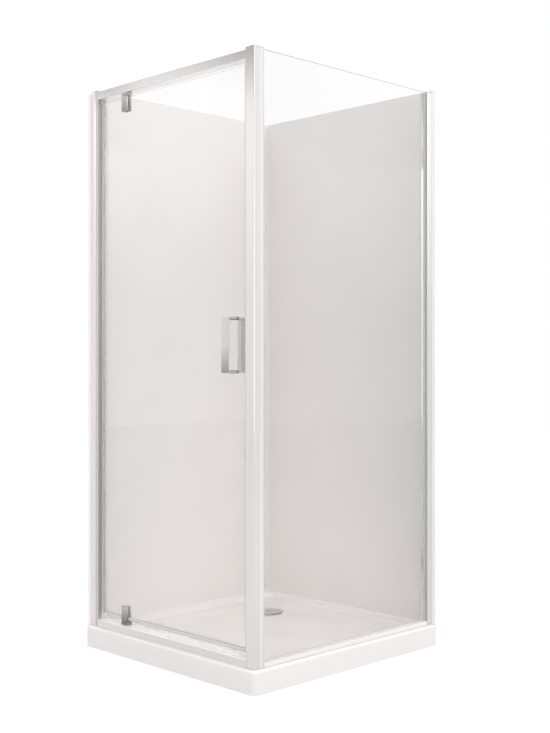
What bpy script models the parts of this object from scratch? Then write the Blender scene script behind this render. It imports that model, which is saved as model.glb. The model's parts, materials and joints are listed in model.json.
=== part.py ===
"""Corner shower enclosure: square tray, two-wall liner, fixed glass return and a pivot door.

Metres, +Z up.  The origin is the middle of the tray's footprint at floor level.  The door face
looks along -Y and the fixed return along +X.  The two lined walls stand at -X and +Y.
"""
import math

import bmesh
import bpy
from mathutils import Matrix, Vector

# Clearances shared by all pieces
GAP = 0.0003
OVERRUN = 0.002

# Shower tray
TRAY_SIDE = 0.900
RIM_HEIGHT = 0.075
TRAY_SHELL = 0.004
FRONT_CORNER_RADIUS = 0.020
WALL_CORNER_RADIUS = 0.004
FRONT_EDGE_RADIUS = 0.010
WALL_EDGE_RADIUS = 0.0012
RIM_INSIDE_FRAME = 0.007
RIM_INSIDE_LINER = 0.010
BASIN_CORNER_RADIUS = 0.060
BASIN_LIP_RADIUS = 0.006
BASIN_FOOT_RADIUS = 0.016
BASIN_DEPTH = 0.019
FLOOR_FALL = 0.0105
BASIN_WALL_ANGLE = math.radians(60)
LEAST_CORNER_RADIUS = 0.002

# Waste outlet, measured from the two lined walls
WASTE_FROM_LEFT_WALL = 0.205
WASTE_FROM_BACK_WALL = 0.195
DISH_RADIUS = 0.064
DISH_DEPTH = 0.005
WASTE_HOLE_RADIUS = 0.0445
WASTE_HOLE_CLEARANCE = 0.0012
WASTE_FLANGE_RADIUS = 0.056
WASTE_FLANGE_THICKNESS = 0.002
WASTE_WALL = 0.002
WASTE_LEDGE_DEPTH = 0.004
WASTE_LEDGE_WIDTH = 0.002
OUTLET_RADIUS = 0.024
OUTLET_ABOVE_FLOOR = 0.003
GASKET_THICKNESS = 0.003
NUT_HEIGHT = 0.007
NUT_GRIP = 0.004
BASKET_RADIAL_CLEARANCE = 0.0006
BASKET_WALL = 0.0014
BASKET_SLOT_RADIUS = 0.004
COVER_RADIUS = 0.060
COVER_WATER_GAP = 0.004
COVER_EDGE_THICKNESS = 0.0025
COVER_CROWN = 0.0016
COVER_STEM_RADIUS = 0.006

# Wall liner
LINER_THICKNESS = 0.004
LINER_ABOVE_POST = 0.0115
LINER_FRONT_SET = 0.005
LINER_SIDE_SET = 0.0008

# Aluminium frame
FRAME_SET = 0.017
POST_SIDE = 0.042
POST_LENGTH = 1.9397
SECTION_WALL = 0.0018
SECTION_EDGE_RADIUS = 0.0012
POST_NOSE_RADIUS = 0.003
GROOVE_WIDTH = 0.0014
GROOVE_FROM_NOSE = 0.0165
GLAZING_STRIP_WIDTH = 0.016
POST_CAP_THICKNESS = 0.0042
CHANNEL_CAP_THICKNESS = 0.002
CAP_SPIGOT_DEPTH = 0.012
CAP_SPIGOT_CLEARANCE = 0.0006
WALL_CHANNEL_WIDTH = 0.0277
RETURN_CHANNEL_WIDTH = 0.0262
JAMB_ADJUSTMENT = 0.006
JAMB_SHOW = 0.0115
JAMB_REBATE_WIDTH = 0.003
JAMB_REBATE_SET = 0.0085
HEAD_RAIL_HEIGHT = 0.031
HEAD_RAIL_DROP = 0.001
RAIL_NOSE_RADIUS = 0.004
SILL_HEIGHT = 0.0257
BOTTOM_CHANNEL_HEIGHT = 0.0155
JAMB_SCREW_RADIUS = 0.0018
JAMB_SCREW_HEAD_RADIUS = 0.0045
JAMB_SCREW_HEAD_HEIGHT = 0.0024
JAMB_SCREW_LENGTH = 0.010

# Fixed return glass
GLASS_THICKNESS = 0.006
RETURN_GLASS_SET = 0.016
RETURN_GLASS_ABOVE_POST = 0.003
GLASS_BITE_AT_POST = 0.010
GLASS_BITE_AT_WALL = 0.012
POCKET_DEPTH_BEYOND_GLASS = 0.004
GASKET_WALL = 0.0022
WALL_GASKET_FLANGE = 0.0012
WALL_GASKET_EDGE_SET = 0.0012
GASKET_LIP = 0.001
CAP_SLOT_CLEARANCE = 0.001

# Pivot door
DOOR_SET = 0.025
DOOR_FOOT_GAP = 0.021
DOOR_HEAD_GAP = 0.011
CLOSING_EDGE_GAP = 0.021
PIVOT_EDGE_GAP = 0.0085
PIVOT_FROM_EDGE = 0.133
SEAL_WALL = 0.0014
SEAL_ARM = 0.004
SEAL_NOSE_WIDTH = 0.0036
SEAL_RUNNING_GAP = 0.001
DRIP_SEAL_ARM = 0.007
DRIP_FIN_ABOVE_SILL = 0.0125
DRIP_FIN_LEAN = 0.003
STRIKE_BASE = 0.0032
STRIKE_LIP = 0.002
STRIKE_LIP_REACH = 0.010
STRIKE_FRONT_WIDTH = 0.009
STRIKE_SEAL_CLEARANCE = 0.0006

# Pivot hinges
HINGE_WIDTH = 0.030
HINGE_HEIGHT = 0.054
HINGE_PLATE = 0.0075
HINGE_EDGE_RADIUS = 0.0008
CLAMP_PAD = 0.001
BOTTOM_HINGE_BELOW_GLASS = 0.009
TOP_HINGE_ABOVE_GLASS = 0.0044
CORE_WIDTH = 0.016
CORE_INTO_GLASS = 0.018
CORE_BEYOND_PAD = 0.003
NOTCH_CLEARANCE = 0.0008
PIN_RADIUS = 0.0025
BUSH_WALL = 0.0007
BUSH_LENGTH = 0.011
HINGE_RUNNING_GAP = 0.0013
BRACKET_DEPTH = 0.026
BRACKET_SCREW_SPACING = 0.020
BRACKET_SCREW_RADIUS = 0.0015
BRACKET_SCREW_HEAD_RADIUS = 0.003
BRACKET_SCREW_HEAD_HEIGHT = 0.0018
BRACKET_SCREW_SINK = 0.0024
BRACKET_SCREW_LENGTH_IN_RAIL = 0.006
CLAMP_SCREW_FROM_GLASS_EDGE = 0.032
CLAMP_SCREW_SPACING = 0.015
CLAMP_SCREW_RADIUS = 0.0022
CLAMP_SCREW_HEAD_RADIUS = 0.004
CLAMP_SCREW_HEAD_HEIGHT = 0.0022
CLAMP_SCREW_BITE = 0.005
SCREW_HOLE_CLEARANCE = 0.0004
GLASS_HOLE_CLEARANCE = 0.002

# Back-to-back bar handles
HANDLE_LENGTH = 0.178
HANDLE_WIDTH = 0.036
HANDLE_PROJECTION = 0.0367
HANDLE_INNER_PROJECTION = 0.0335
HANDLE_GRIP = 0.005
HANDLE_ARM = 0.007
HANDLE_EDGE_RADIUS = 0.0008
HANDLE_MIDDLE_HEIGHT = 1.087
HANDLE_FROM_CLOSING_EDGE = 0.059
HANDLE_STUD_RADIUS = 0.002
HANDLE_STUD_BITE = 0.010

# Shares and counts
JAMB_SCREW_SHARES = (0.10, 0.50, 0.90)
FLOOR_SHARES = (0.35, 0.70, 0.93)
GROOVE_DEPTH_SHARE = 0.45
PIVOT_SEAL_CABIN_ARM_SHARE = 0.45
WASTE_BODY_DEPTH_SHARE = 0.68
BASKET_DEPTH_SHARE = 0.74
BASKET_SLOT_CIRCLE_SHARE = 0.60
COVER_DOME_SHARES = (0.0, 0.35, 0.70, 0.96)
FILLET_LIMIT_SHARE = 0.45
OFFSET_CORNER_SHARE = math.tan(math.pi / 8)
TRAY_CORNER_STEPS = 6
TRAY_SIDE_STEPS = 3
EDGE_STEPS = 3
BASIN_STEPS = 3
FILLET_STEPS = 3
TURN_STEPS = 32
SMALL_TURN_STEPS = 16
ROD_SIDES = 20
BASKET_SLOTS = 8
SMOOTH_ANGLE = math.radians(35)
WELD_DISTANCE = 0.00001

# Planes of the footprint
LEFT = -TRAY_SIDE / 2
RIGHT = TRAY_SIDE / 2
FRONT = -TRAY_SIDE / 2
BACK = TRAY_SIDE / 2

# Planes of the frame
LINER_FACE_X = LEFT + LINER_THICKNESS
LINER_FACE_Y = BACK - LINER_THICKNESS
FRAME_FRONT = FRONT + FRAME_SET
FRAME_BACK = FRAME_FRONT + POST_SIDE
FRAME_RIGHT = RIGHT - FRAME_SET
FRAME_INNER = FRAME_RIGHT - POST_SIDE
FRAME_FOOT = RIM_HEIGHT + GAP
POST_TOP = FRAME_FOOT + POST_LENGTH
SILL_TOP = FRAME_FOOT + SILL_HEIGHT
HEAD_TOP = POST_TOP - HEAD_RAIL_DROP
HEAD_BOTTOM = HEAD_TOP - HEAD_RAIL_HEIGHT
CHANNEL_LEFT = LINER_FACE_X + GAP
CHANNEL_RIGHT = CHANNEL_LEFT + WALL_CHANNEL_WIDTH
JAMB_LEFT = CHANNEL_LEFT + SECTION_WALL + JAMB_ADJUSTMENT
JAMB_RIGHT = CHANNEL_RIGHT + JAMB_SHOW
JAMB_FRONT = FRAME_FRONT + SECTION_WALL + GAP
JAMB_BACK = FRAME_BACK - SECTION_WALL - GAP
RETURN_CHANNEL_BACK = LINER_FACE_Y - GAP
RETURN_CHANNEL_FRONT = RETURN_CHANNEL_BACK - RETURN_CHANNEL_WIDTH

# Planes of the return glass
RETURN_GLASS_X = FRAME_RIGHT - RETURN_GLASS_SET
POCKET_WIDTH = GLASS_THICKNESS + 2 * (GASKET_WALL + 2 * GAP)
POCKET_LEFT = RETURN_GLASS_X - POCKET_WIDTH / 2
POCKET_RIGHT = RETURN_GLASS_X + POCKET_WIDTH / 2
POST_POCKET_DEPTH = GLASS_BITE_AT_POST + POCKET_DEPTH_BEYOND_GLASS
WALL_POCKET_DEPTH = GLASS_BITE_AT_WALL + POCKET_DEPTH_BEYOND_GLASS
RETURN_GLASS_FRONT = FRAME_BACK - GLASS_BITE_AT_POST
RETURN_GLASS_BACK = RETURN_CHANNEL_FRONT + GLASS_BITE_AT_WALL
WALL_GASKET_FRONT = RETURN_CHANNEL_FRONT - GAP - WALL_GASKET_FLANGE
BOTTOM_CHANNEL_WEB_TOP = FRAME_FOOT + SECTION_WALL
BOTTOM_CHANNEL_TOP = FRAME_FOOT + BOTTOM_CHANNEL_HEIGHT
RETURN_GLASS_BOTTOM = BOTTOM_CHANNEL_WEB_TOP + GAP + GASKET_WALL + GAP
RETURN_GLASS_TOP = POST_TOP + RETURN_GLASS_ABOVE_POST

# Planes of the door
DOOR_Y = FRAME_FRONT + DOOR_SET
DOOR_LEFT = JAMB_RIGHT + PIVOT_EDGE_GAP
DOOR_RIGHT = FRAME_INNER - CLOSING_EDGE_GAP
DOOR_BOTTOM = SILL_TOP + DOOR_FOOT_GAP
DOOR_TOP = HEAD_BOTTOM - DOOR_HEAD_GAP
GLASS_HALF = GLASS_THICKNESS / 2
PIVOT_X = DOOR_LEFT + PIVOT_FROM_EDGE
PIVOT = Vector((PIVOT_X, DOOR_Y, 0))
HINGE_LEFT = PIVOT_X - HINGE_WIDTH / 2
HINGE_RIGHT = PIVOT_X + HINGE_WIDTH / 2
PAD_FACE = GLASS_HALF + GAP + CLAMP_PAD + GAP
HINGE_FACE = PAD_FACE + HINGE_PLATE
BOTTOM_HINGE_FOOT = DOOR_BOTTOM - BOTTOM_HINGE_BELOW_GLASS
TOP_HINGE_HEAD = DOOR_TOP + TOP_HINGE_ABOVE_GLASS
BUSH_RADIUS = PIN_RADIUS + GAP + BUSH_WALL
BORE_RADIUS = BUSH_RADIUS + GAP
HANDLE_X = DOOR_RIGHT - HANDLE_FROM_CLOSING_EDGE
HANDLE_FOOT = HANDLE_MIDDLE_HEIGHT - HANDLE_LENGTH / 2
HANDLE_HEAD = HANDLE_MIDDLE_HEIGHT + HANDLE_LENGTH / 2
HANDLE_FACE = GLASS_HALF + GAP

# Levels and centre of the waste
WASTE_X = LEFT + WASTE_FROM_LEFT_WALL
WASTE_Y = BACK - WASTE_FROM_BACK_WALL
BASIN_FLOOR = RIM_HEIGHT - BASIN_DEPTH
DISH_LEVEL = BASIN_FLOOR - FLOOR_FALL
SEAT_LEVEL = DISH_LEVEL - DISH_DEPTH
FLANGE_BOTTOM = SEAT_LEVEL + GAP
FLANGE_TOP = FLANGE_BOTTOM + WASTE_FLANGE_THICKNESS
WASTE_BODY_RADIUS = WASTE_HOLE_RADIUS - WASTE_HOLE_CLEARANCE
WASTE_BODY_BOTTOM = SEAT_LEVEL * (1 - WASTE_BODY_DEPTH_SHARE)
WASTE_BODY_BORE = WASTE_BODY_RADIUS - WASTE_WALL
WASTE_CUP_BORE = WASTE_BODY_BORE - WASTE_LEDGE_WIDTH
WASTE_LEDGE_LEVEL = FLANGE_TOP - WASTE_LEDGE_DEPTH
TRAY_UNDERSIDE = SEAT_LEVEL - TRAY_SHELL

# Finishes: colour, roughness, metallic, transmission
FINISHES = {
    "white_acrylic": ((0.86, 0.85, 0.84), 0.22, 0.0, 0.0),
    "white_foam": ((0.93, 0.93, 0.92), 0.90, 0.0, 0.0),
    "satin_aluminium": ((0.82, 0.82, 0.82), 0.32, 1.0, 0.0),
    "polished_chrome": ((0.62, 0.62, 0.63), 0.16, 1.0, 0.0),
    "clear_glass": ((0.95, 0.97, 0.96), 0.03, 0.0, 1.0),
    "grey_seal": ((0.42, 0.42, 0.42), 0.45, 0.0, 0.0),
    "clear_seal": ((0.62, 0.63, 0.63), 0.30, 0.0, 0.0),
    "white_nylon": ((0.80, 0.80, 0.78), 0.45, 0.0, 0.0),
    "steel_screw": ((0.66, 0.66, 0.67), 0.28, 1.0, 0.0),
    "grey_waste": ((0.40, 0.40, 0.41), 0.30, 0.6, 0.0),
}

UPRIGHT = (0.0, 0.0, 0.0)
ALONG_X = (math.pi / 2, 0.0, math.pi / 2)
ALONG_Y = (math.pi / 2, 0.0, 0.0)
TOWARDS_CABIN = (-math.pi / 2, 0.0, 0.0)
UPSIDE_DOWN = (math.pi, 0.0, 0.0)


def clear_scene():
    for thing in list(bpy.data.objects):
        bpy.data.objects.remove(thing, do_unlink=True)


def new_collection(name):
    group = bpy.data.collections.new(name)
    bpy.context.scene.collection.children.link(group)
    return group


clear_scene()
PARTS = new_collection("corner_shower_enclosure")
CUTTERS = new_collection("cutters")


def new_carrier(name, place):
    """An empty on a joint's axis; the pieces of the moving body hang from it."""
    carrier = bpy.data.objects.new(name, None)
    carrier.location = place
    PARTS.objects.link(carrier)
    return carrier


def hang_from(piece, carrier):
    """Parent a piece to its carrier without moving it."""
    if carrier is not None:
        piece.parent = carrier
        piece.matrix_parent_inverse = Matrix.Translation(-carrier.location)


def paint(piece, finish):
    """Give the piece a material of its own in one of the named finishes."""
    colour, roughness, metallic, transmission = FINISHES[finish]
    material = bpy.data.materials.new(piece.name + "_" + finish)
    material.use_nodes = True
    shader = material.node_tree.nodes["Principled BSDF"]
    shader.inputs["Base Color"].default_value = (*colour, 1.0)
    shader.inputs["Roughness"].default_value = roughness
    shader.inputs["Metallic"].default_value = metallic
    shader.inputs["Transmission Weight"].default_value = transmission
    piece.data.materials.clear()
    piece.data.materials.append(material)


def new_piece(name, mesh, finish, carrier=None):
    piece = bpy.data.objects.new(name, mesh)
    PARTS.objects.link(piece)
    hang_from(piece, carrier)
    paint(piece, finish)
    return piece


def mesh_from(name, shape):
    """Store a bmesh as a mesh whose faces point out, round faces smooth."""
    bmesh.ops.recalc_face_normals(shape, faces=shape.faces)
    mesh = bpy.data.meshes.new(name)
    shape.to_mesh(mesh)
    shape.free()
    mesh.shade_smooth()
    mesh.set_sharp_from_angle(angle=SMOOTH_ANGLE)
    return mesh


def outline(corners, steps=FILLET_STEPS):
    """A closed outline from (x, y) or (x, y, radius) corners, each radius drawn as an arc."""
    points = []
    for index, corner in enumerate(corners):
        here = Vector(corner[:2])
        radius = corner[2] if len(corner) > 2 else 0.0
        if radius == 0.0:
            points.append(here)
            continue
        before = Vector(corners[index - 1][:2]) - here
        after = Vector(corners[(index + 1) % len(corners)][:2]) - here
        half = before.angle(after) / 2
        reach = min(radius / math.tan(half), FILLET_LIMIT_SHARE * min(before.length, after.length))
        radius = reach * math.tan(half)
        before.normalize()
        after.normalize()
        centre = here + (before + after).normalized() * (radius / math.sin(half))
        first = here + before * reach - centre
        turn = first.angle_signed(here + after * reach - centre)
        for step in range(steps + 1):
            arm = first.copy()
            arm.rotate(Matrix.Rotation(-turn * step / steps, 2))
            points.append(centre + arm)
    return points


def box_outline(left, right, low, high, radius=0.0):
    corners = ((left, low), (right, low), (right, high), (left, high))
    return outline([(*corner, radius) for corner in corners])


def extrusion(name, loops, start, end, turn, finish, carrier=None):
    """Fill the first outline less the others, and draw it out from start to end along one axis."""
    curve = bpy.data.curves.new(name, "CURVE")
    curve.dimensions = "2D"
    curve.fill_mode = "BOTH"
    curve.extrude = (end - start) / 2
    curve.render_resolution_u = 0
    for loop in loops:
        spline = curve.splines.new("POLY")
        spline.points.add(len(loop) - 1)
        for point, place in zip(spline.points, loop):
            point.co = (place[0], place[1], 0.0, 1.0)
        spline.use_cyclic_u = True
    guide = bpy.data.objects.new(name + "_outline", curve)
    PARTS.objects.link(guide)
    bpy.context.view_layer.update()
    evaluated = guide.evaluated_get(bpy.context.evaluated_depsgraph_get())
    mesh = bpy.data.meshes.new_from_object(evaluated)
    bpy.data.objects.remove(guide)
    shape = bmesh.new()
    shape.from_mesh(mesh)
    bpy.data.meshes.remove(mesh)
    bmesh.ops.remove_doubles(shape, verts=shape.verts, dist=WELD_DISTANCE)
    piece = new_piece(name, mesh_from(name, shape), finish, carrier)
    middle = (start + end) / 2
    places = {UPRIGHT: (0, 0, middle), ALONG_X: (middle, 0, 0), ALONG_Y: (0, middle, 0)}
    piece.location = places[turn]
    piece.rotation_euler = turn
    return piece


def block(name, low, high, finish, edge_radius=0.0, carrier=None):
    """A box between two corners, its edges eased by a bevel."""
    bpy.ops.mesh.primitive_cube_add(size=1)
    piece = bpy.context.object
    piece.name = name
    piece.data.name = name
    for group in list(piece.users_collection):
        group.objects.unlink(piece)
    PARTS.objects.link(piece)
    low, high = Vector(low), Vector(high)
    piece.data.transform(Matrix.Diagonal((*(high - low), 1.0)))
    piece.location = (low + high) / 2
    hang_from(piece, carrier)
    paint(piece, finish)
    if edge_radius > 0.0:
        ease_edges(piece, edge_radius)
    return piece


def ease_edges(piece, radius):
    bevel = piece.modifiers.new("eased_edges", "BEVEL")
    bevel.width = radius
    bevel.segments = 2
    bevel.limit_method = "ANGLE"


def turned(name, profile, place, finish, ring=False, steps=SMALL_TURN_STEPS, turn=UPRIGHT,
           carrier=None):
    """Turn a (radius, height) profile, drawn down its outer side, about its own upright axis."""
    edges = [(index, index + 1) for index in range(len(profile) - 1)]
    if ring:
        edges.append((len(profile) - 1, 0))
    mesh = bpy.data.meshes.new(name)
    mesh.from_pydata([(radius, 0.0, height) for radius, height in profile], edges, [])
    piece = new_piece(name, mesh, finish, carrier)
    piece.location = place
    piece.rotation_euler = turn
    screw = piece.modifiers.new("turned", "SCREW")
    screw.steps = steps
    screw.render_steps = steps
    screw.use_merge_vertices = True
    screw.merge_threshold = WELD_DISTANCE
    screw.use_smooth_shade = True
    return piece


def loft(name, rings, finish):
    """Skin closed rings of equal count in turn, and the last one back to the first.

    Each face is split along its shorter diagonal, so that surfaces a constant depth apart stay so.
    """
    shape = bmesh.new()
    rows = [[shape.verts.new(point) for point in ring] for ring in rings]
    for row, following in zip(rows, rows[1:] + rows[:1]):
        for index in range(len(row)):
            ahead = (index + 1) % len(row)
            shape.faces.new((row[index], row[ahead], following[ahead], following[index]))
    bmesh.ops.triangulate(shape, faces=shape.faces, quad_method="SHORT_EDGE")
    return new_piece(name, mesh_from(name, shape), finish)


def combine(target, operation, boxes=(), rods=()):
    """Cut a set of boxes and rods out of a piece, or join them to it."""
    shape = bmesh.new()
    for low, high in boxes:
        low, high = Vector(low), Vector(high)
        place = Matrix.Translation((low + high) / 2) @ Matrix.Diagonal((*(high - low), 1.0))
        bmesh.ops.create_cube(shape, size=1, matrix=place)
    for start, end, radius in rods:
        start, end = Vector(start), Vector(end)
        axis = end - start
        place = Matrix.Translation((start + end) / 2) @ axis.to_track_quat("Z", "Y").to_matrix().to_4x4()
        bmesh.ops.create_cone(shape, cap_ends=True, segments=ROD_SIDES, radius1=radius,
                              radius2=radius, depth=axis.length, matrix=place)
    name = target.name + "_" + operation.lower() + "_" + str(len(target.modifiers))
    tool = bpy.data.objects.new(name, mesh_from(name, shape))
    tool.hide_render = True
    tool.display_type = "WIRE"
    CUTTERS.objects.link(tool)
    hang_from(tool, target.parent)
    boolean = target.modifiers.new(name, "BOOLEAN")
    boolean.operation = operation
    boolean.solver = "EXACT"
    boolean.object = tool


def screw_profile(head_radius, head_height, shank_radius, shank_length):
    """A domed head on a plain shank; the head's underside is at height zero."""
    return ((0.0, head_height), (head_radius / 2, head_height), (head_radius, head_height / 2),
            (head_radius, 0.0), (shank_radius, 0.0), (shank_radius, -shank_length),
            (0.0, -shank_length))


# Tray rings

def tray_ring(insets, radii, heights):
    """One closed ring round the tray, drawn from its front right corner anticlockwise.

    insets and heights are given for the front, right, back and left sides, radii for the corners
    front right, back right, back left and front left.  A height blends from one side to the next
    round the corner between them.
    """
    front, right, back, left = insets
    corners = ((RIGHT - right, FRONT + front, 1, -1), (RIGHT - right, BACK - back, 1, 1),
               (LEFT + left, BACK - back, -1, 1), (LEFT + left, FRONT + front, -1, -1))
    arcs = []
    for number, (x, y, side_x, side_y) in enumerate(corners):
        radius = max(radii[number], LEAST_CORNER_RADIUS)
        start, end = heights[number], heights[(number + 1) % len(heights)]
        arc = []
        for step in range(TRAY_CORNER_STEPS + 1):
            share = step / TRAY_CORNER_STEPS
            angle = math.radians(90) * (number - 1 + share)
            arc.append(Vector((x + radius * (math.cos(angle) - side_x),
                               y + radius * (math.sin(angle) - side_y),
                               start + (end - start) * share)))
        arcs.append(arc)
    ring = []
    for number, arc in enumerate(arcs):
        following = arcs[(number + 1) % len(arcs)]
        ring += arc
        for step in range(1, TRAY_SIDE_STEPS + 1):
            ring.append(arc[-1].lerp(following[0], step / (TRAY_SIDE_STEPS + 1)))
    return ring


def waste_ring(radius, height):
    """A circle about the waste with the points of a tray ring, its first corner front right."""
    count = 4 * (TRAY_CORNER_STEPS + 1 + TRAY_SIDE_STEPS)
    first = math.radians(-45) - TRAY_CORNER_STEPS / 2 * math.tau / count
    ring = []
    for index in range(count):
        angle = first + index * math.tau / count
        ring.append(Vector((WASTE_X + radius * math.cos(angle), WASTE_Y + radius * math.sin(angle),
                            height)))
    return ring


def between(ring, other, share):
    return [point.lerp(partner, share) for point, partner in zip(ring, other)]


EDGE_RADII = (FRONT_EDGE_RADIUS, FRONT_EDGE_RADIUS, WALL_EDGE_RADIUS, WALL_EDGE_RADIUS)
CORNER_RADII = (FRONT_CORNER_RADIUS, WALL_CORNER_RADIUS, WALL_CORNER_RADIUS, WALL_CORNER_RADIUS)


def corners_less(inset):
    return [radius - inset for radius in CORNER_RADII]


def rim_edge_rings():
    """The skirt's outer foot, and the rounded edge between the skirt and the rim's top."""
    rings = [tray_ring((0, 0, 0, 0), CORNER_RADII, (0, 0, 0, 0))]
    for step in range(EDGE_STEPS + 1):
        angle = math.radians(90) * step / EDGE_STEPS
        insets = [radius * (1 - math.cos(angle)) for radius in EDGE_RADII]
        heights = [RIM_HEIGHT - radius * (1 - math.sin(angle)) for radius in EDGE_RADII]
        rings.append(tray_ring(insets, corners_less(max(insets)), heights))
    return rings


def basin_profile():
    """The basin's wall as (inset, height, slope angle), from the rim's top to the floor."""
    turn = BASIN_WALL_ANGLE
    rounded_drop = (BASIN_LIP_RADIUS + BASIN_FOOT_RADIUS) * (1 - math.cos(turn))
    straight = max(BASIN_DEPTH - rounded_drop, 0.0) / math.tan(turn)
    foot = (BASIN_LIP_RADIUS + BASIN_FOOT_RADIUS) * math.sin(turn) + straight
    profile = []
    for step in range(BASIN_STEPS + 1):
        angle = turn * step / BASIN_STEPS
        profile.append((BASIN_LIP_RADIUS * math.sin(angle),
                        RIM_HEIGHT - BASIN_LIP_RADIUS * (1 - math.cos(angle)), angle))
    for step in range(BASIN_STEPS + 1):
        angle = turn * (1 - step / BASIN_STEPS)
        profile.append((foot - BASIN_FOOT_RADIUS * math.sin(angle),
                        BASIN_FLOOR + BASIN_FOOT_RADIUS * (1 - math.cos(angle)), angle))
    return profile


def basin_rings(depth):
    """The basin's wall, at a depth below its visible surface."""
    front_rim = FRAME_SET + POST_SIDE + RIM_INSIDE_FRAME
    wall_rim = LINER_THICKNESS + RIM_INSIDE_LINER
    rings = []
    for inset, height, angle in basin_profile():
        shift = inset - depth * math.sin(angle)
        insets = (front_rim + shift, front_rim + shift, wall_rim + shift, wall_rim + shift)
        radii = [BASIN_CORNER_RADIUS - shift] * 4
        rings.append(tray_ring(insets, radii, [height - depth * math.cos(angle)] * 4))
    return rings


def floor_rings(foot, depth, shares):
    dish = waste_ring(DISH_RADIUS + OFFSET_CORNER_SHARE * depth, DISH_LEVEL - depth)
    return [between(foot, dish, share) for share in shares]


def underside_rings(depth):
    """The skirt's inner side and the chamfer up to the underside of the rim."""
    chamfer = FRONT_EDGE_RADIUS
    skirt = [depth] * 4
    wide = [depth + chamfer] * 4
    return [tray_ring(skirt, corners_less(depth), (0, 0, 0, 0)),
            tray_ring(skirt, corners_less(depth), [RIM_HEIGHT - depth - chamfer] * 4),
            tray_ring(wide, corners_less(depth + chamfer), [RIM_HEIGHT - depth] * 4)]


def dish_rings(depth):
    """The recess round the waste hole, at a depth below its visible surface."""
    mitre = OFFSET_CORNER_SHARE * depth
    return [waste_ring(DISH_RADIUS + mitre, DISH_LEVEL - depth),
            waste_ring(DISH_RADIUS - DISH_DEPTH + mitre, SEAT_LEVEL - depth),
            waste_ring(WASTE_HOLE_RADIUS, SEAT_LEVEL - depth)]


def build_shower_tray():
    """Moulded shell: skirt, rounded rim, coved basin, and a floor that falls to the waste."""
    top_wall = basin_rings(0.0)
    low_wall = basin_rings(TRAY_SHELL)
    rings = rim_edge_rings() + top_wall
    rings += floor_rings(top_wall[-1], 0.0, FLOOR_SHARES) + dish_rings(0.0)
    rings += reversed(dish_rings(TRAY_SHELL))
    rings += reversed(floor_rings(low_wall[-1], TRAY_SHELL, FLOOR_SHARES))
    rings += reversed(low_wall)
    rings += reversed(underside_rings(TRAY_SHELL))
    loft("shower_tray", rings, "white_acrylic")


def build_tray_foam_base():
    """Bedding that fills the underside of the tray, open round the waste."""
    depth = TRAY_SHELL + GAP
    wall = basin_rings(depth)
    rings = underside_rings(depth) + wall + floor_rings(wall[-1], depth, FLOOR_SHARES)
    rings.append([Vector((point.x, point.y, 0.0)) for point in rings[-1]])
    loft("tray_foam_base", rings, "white_foam")


# Waste

def build_waste_body():
    """Flange in the tray's recess, cup with a ledge for the strainer, and the outlet stub."""
    cup_floor = WASTE_BODY_BOTTOM + WASTE_WALL
    outlet_bore = OUTLET_RADIUS - WASTE_WALL
    profile = ((WASTE_FLANGE_RADIUS, FLANGE_TOP), (WASTE_FLANGE_RADIUS, FLANGE_BOTTOM),
               (WASTE_BODY_RADIUS, FLANGE_BOTTOM), (WASTE_BODY_RADIUS, WASTE_BODY_BOTTOM),
               (OUTLET_RADIUS, WASTE_BODY_BOTTOM), (OUTLET_RADIUS, OUTLET_ABOVE_FLOOR),
               (outlet_bore, OUTLET_ABOVE_FLOOR), (outlet_bore, cup_floor),
               (WASTE_CUP_BORE, cup_floor), (WASTE_CUP_BORE, WASTE_LEDGE_LEVEL),
               (WASTE_BODY_BORE, WASTE_LEDGE_LEVEL), (WASTE_BODY_BORE, FLANGE_TOP))
    turned("waste_body", profile, (WASTE_X, WASTE_Y, 0), "white_nylon", ring=True, steps=TURN_STEPS)


def flat_ring(name, inner, outer, bottom, top, finish):
    profile = ((outer, top), (outer, bottom), (inner, bottom), (inner, top))
    turned(name, profile, (WASTE_X, WASTE_Y, 0), finish, ring=True, steps=TURN_STEPS)


def build_waste_fixings():
    """Rubber gasket under the tray and the back nut that draws the waste down."""
    inner = WASTE_BODY_RADIUS + GAP
    gasket_top = TRAY_UNDERSIDE - GAP
    gasket_bottom = gasket_top - GASKET_THICKNESS
    nut_top = gasket_bottom - GAP
    flat_ring("waste_gasket", inner, WASTE_FLANGE_RADIUS, gasket_bottom, gasket_top, "grey_seal")
    nut_radius = WASTE_FLANGE_RADIUS + NUT_GRIP
    flat_ring("waste_nut", inner, nut_radius, nut_top - NUT_HEIGHT, nut_top, "white_nylon")


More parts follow.
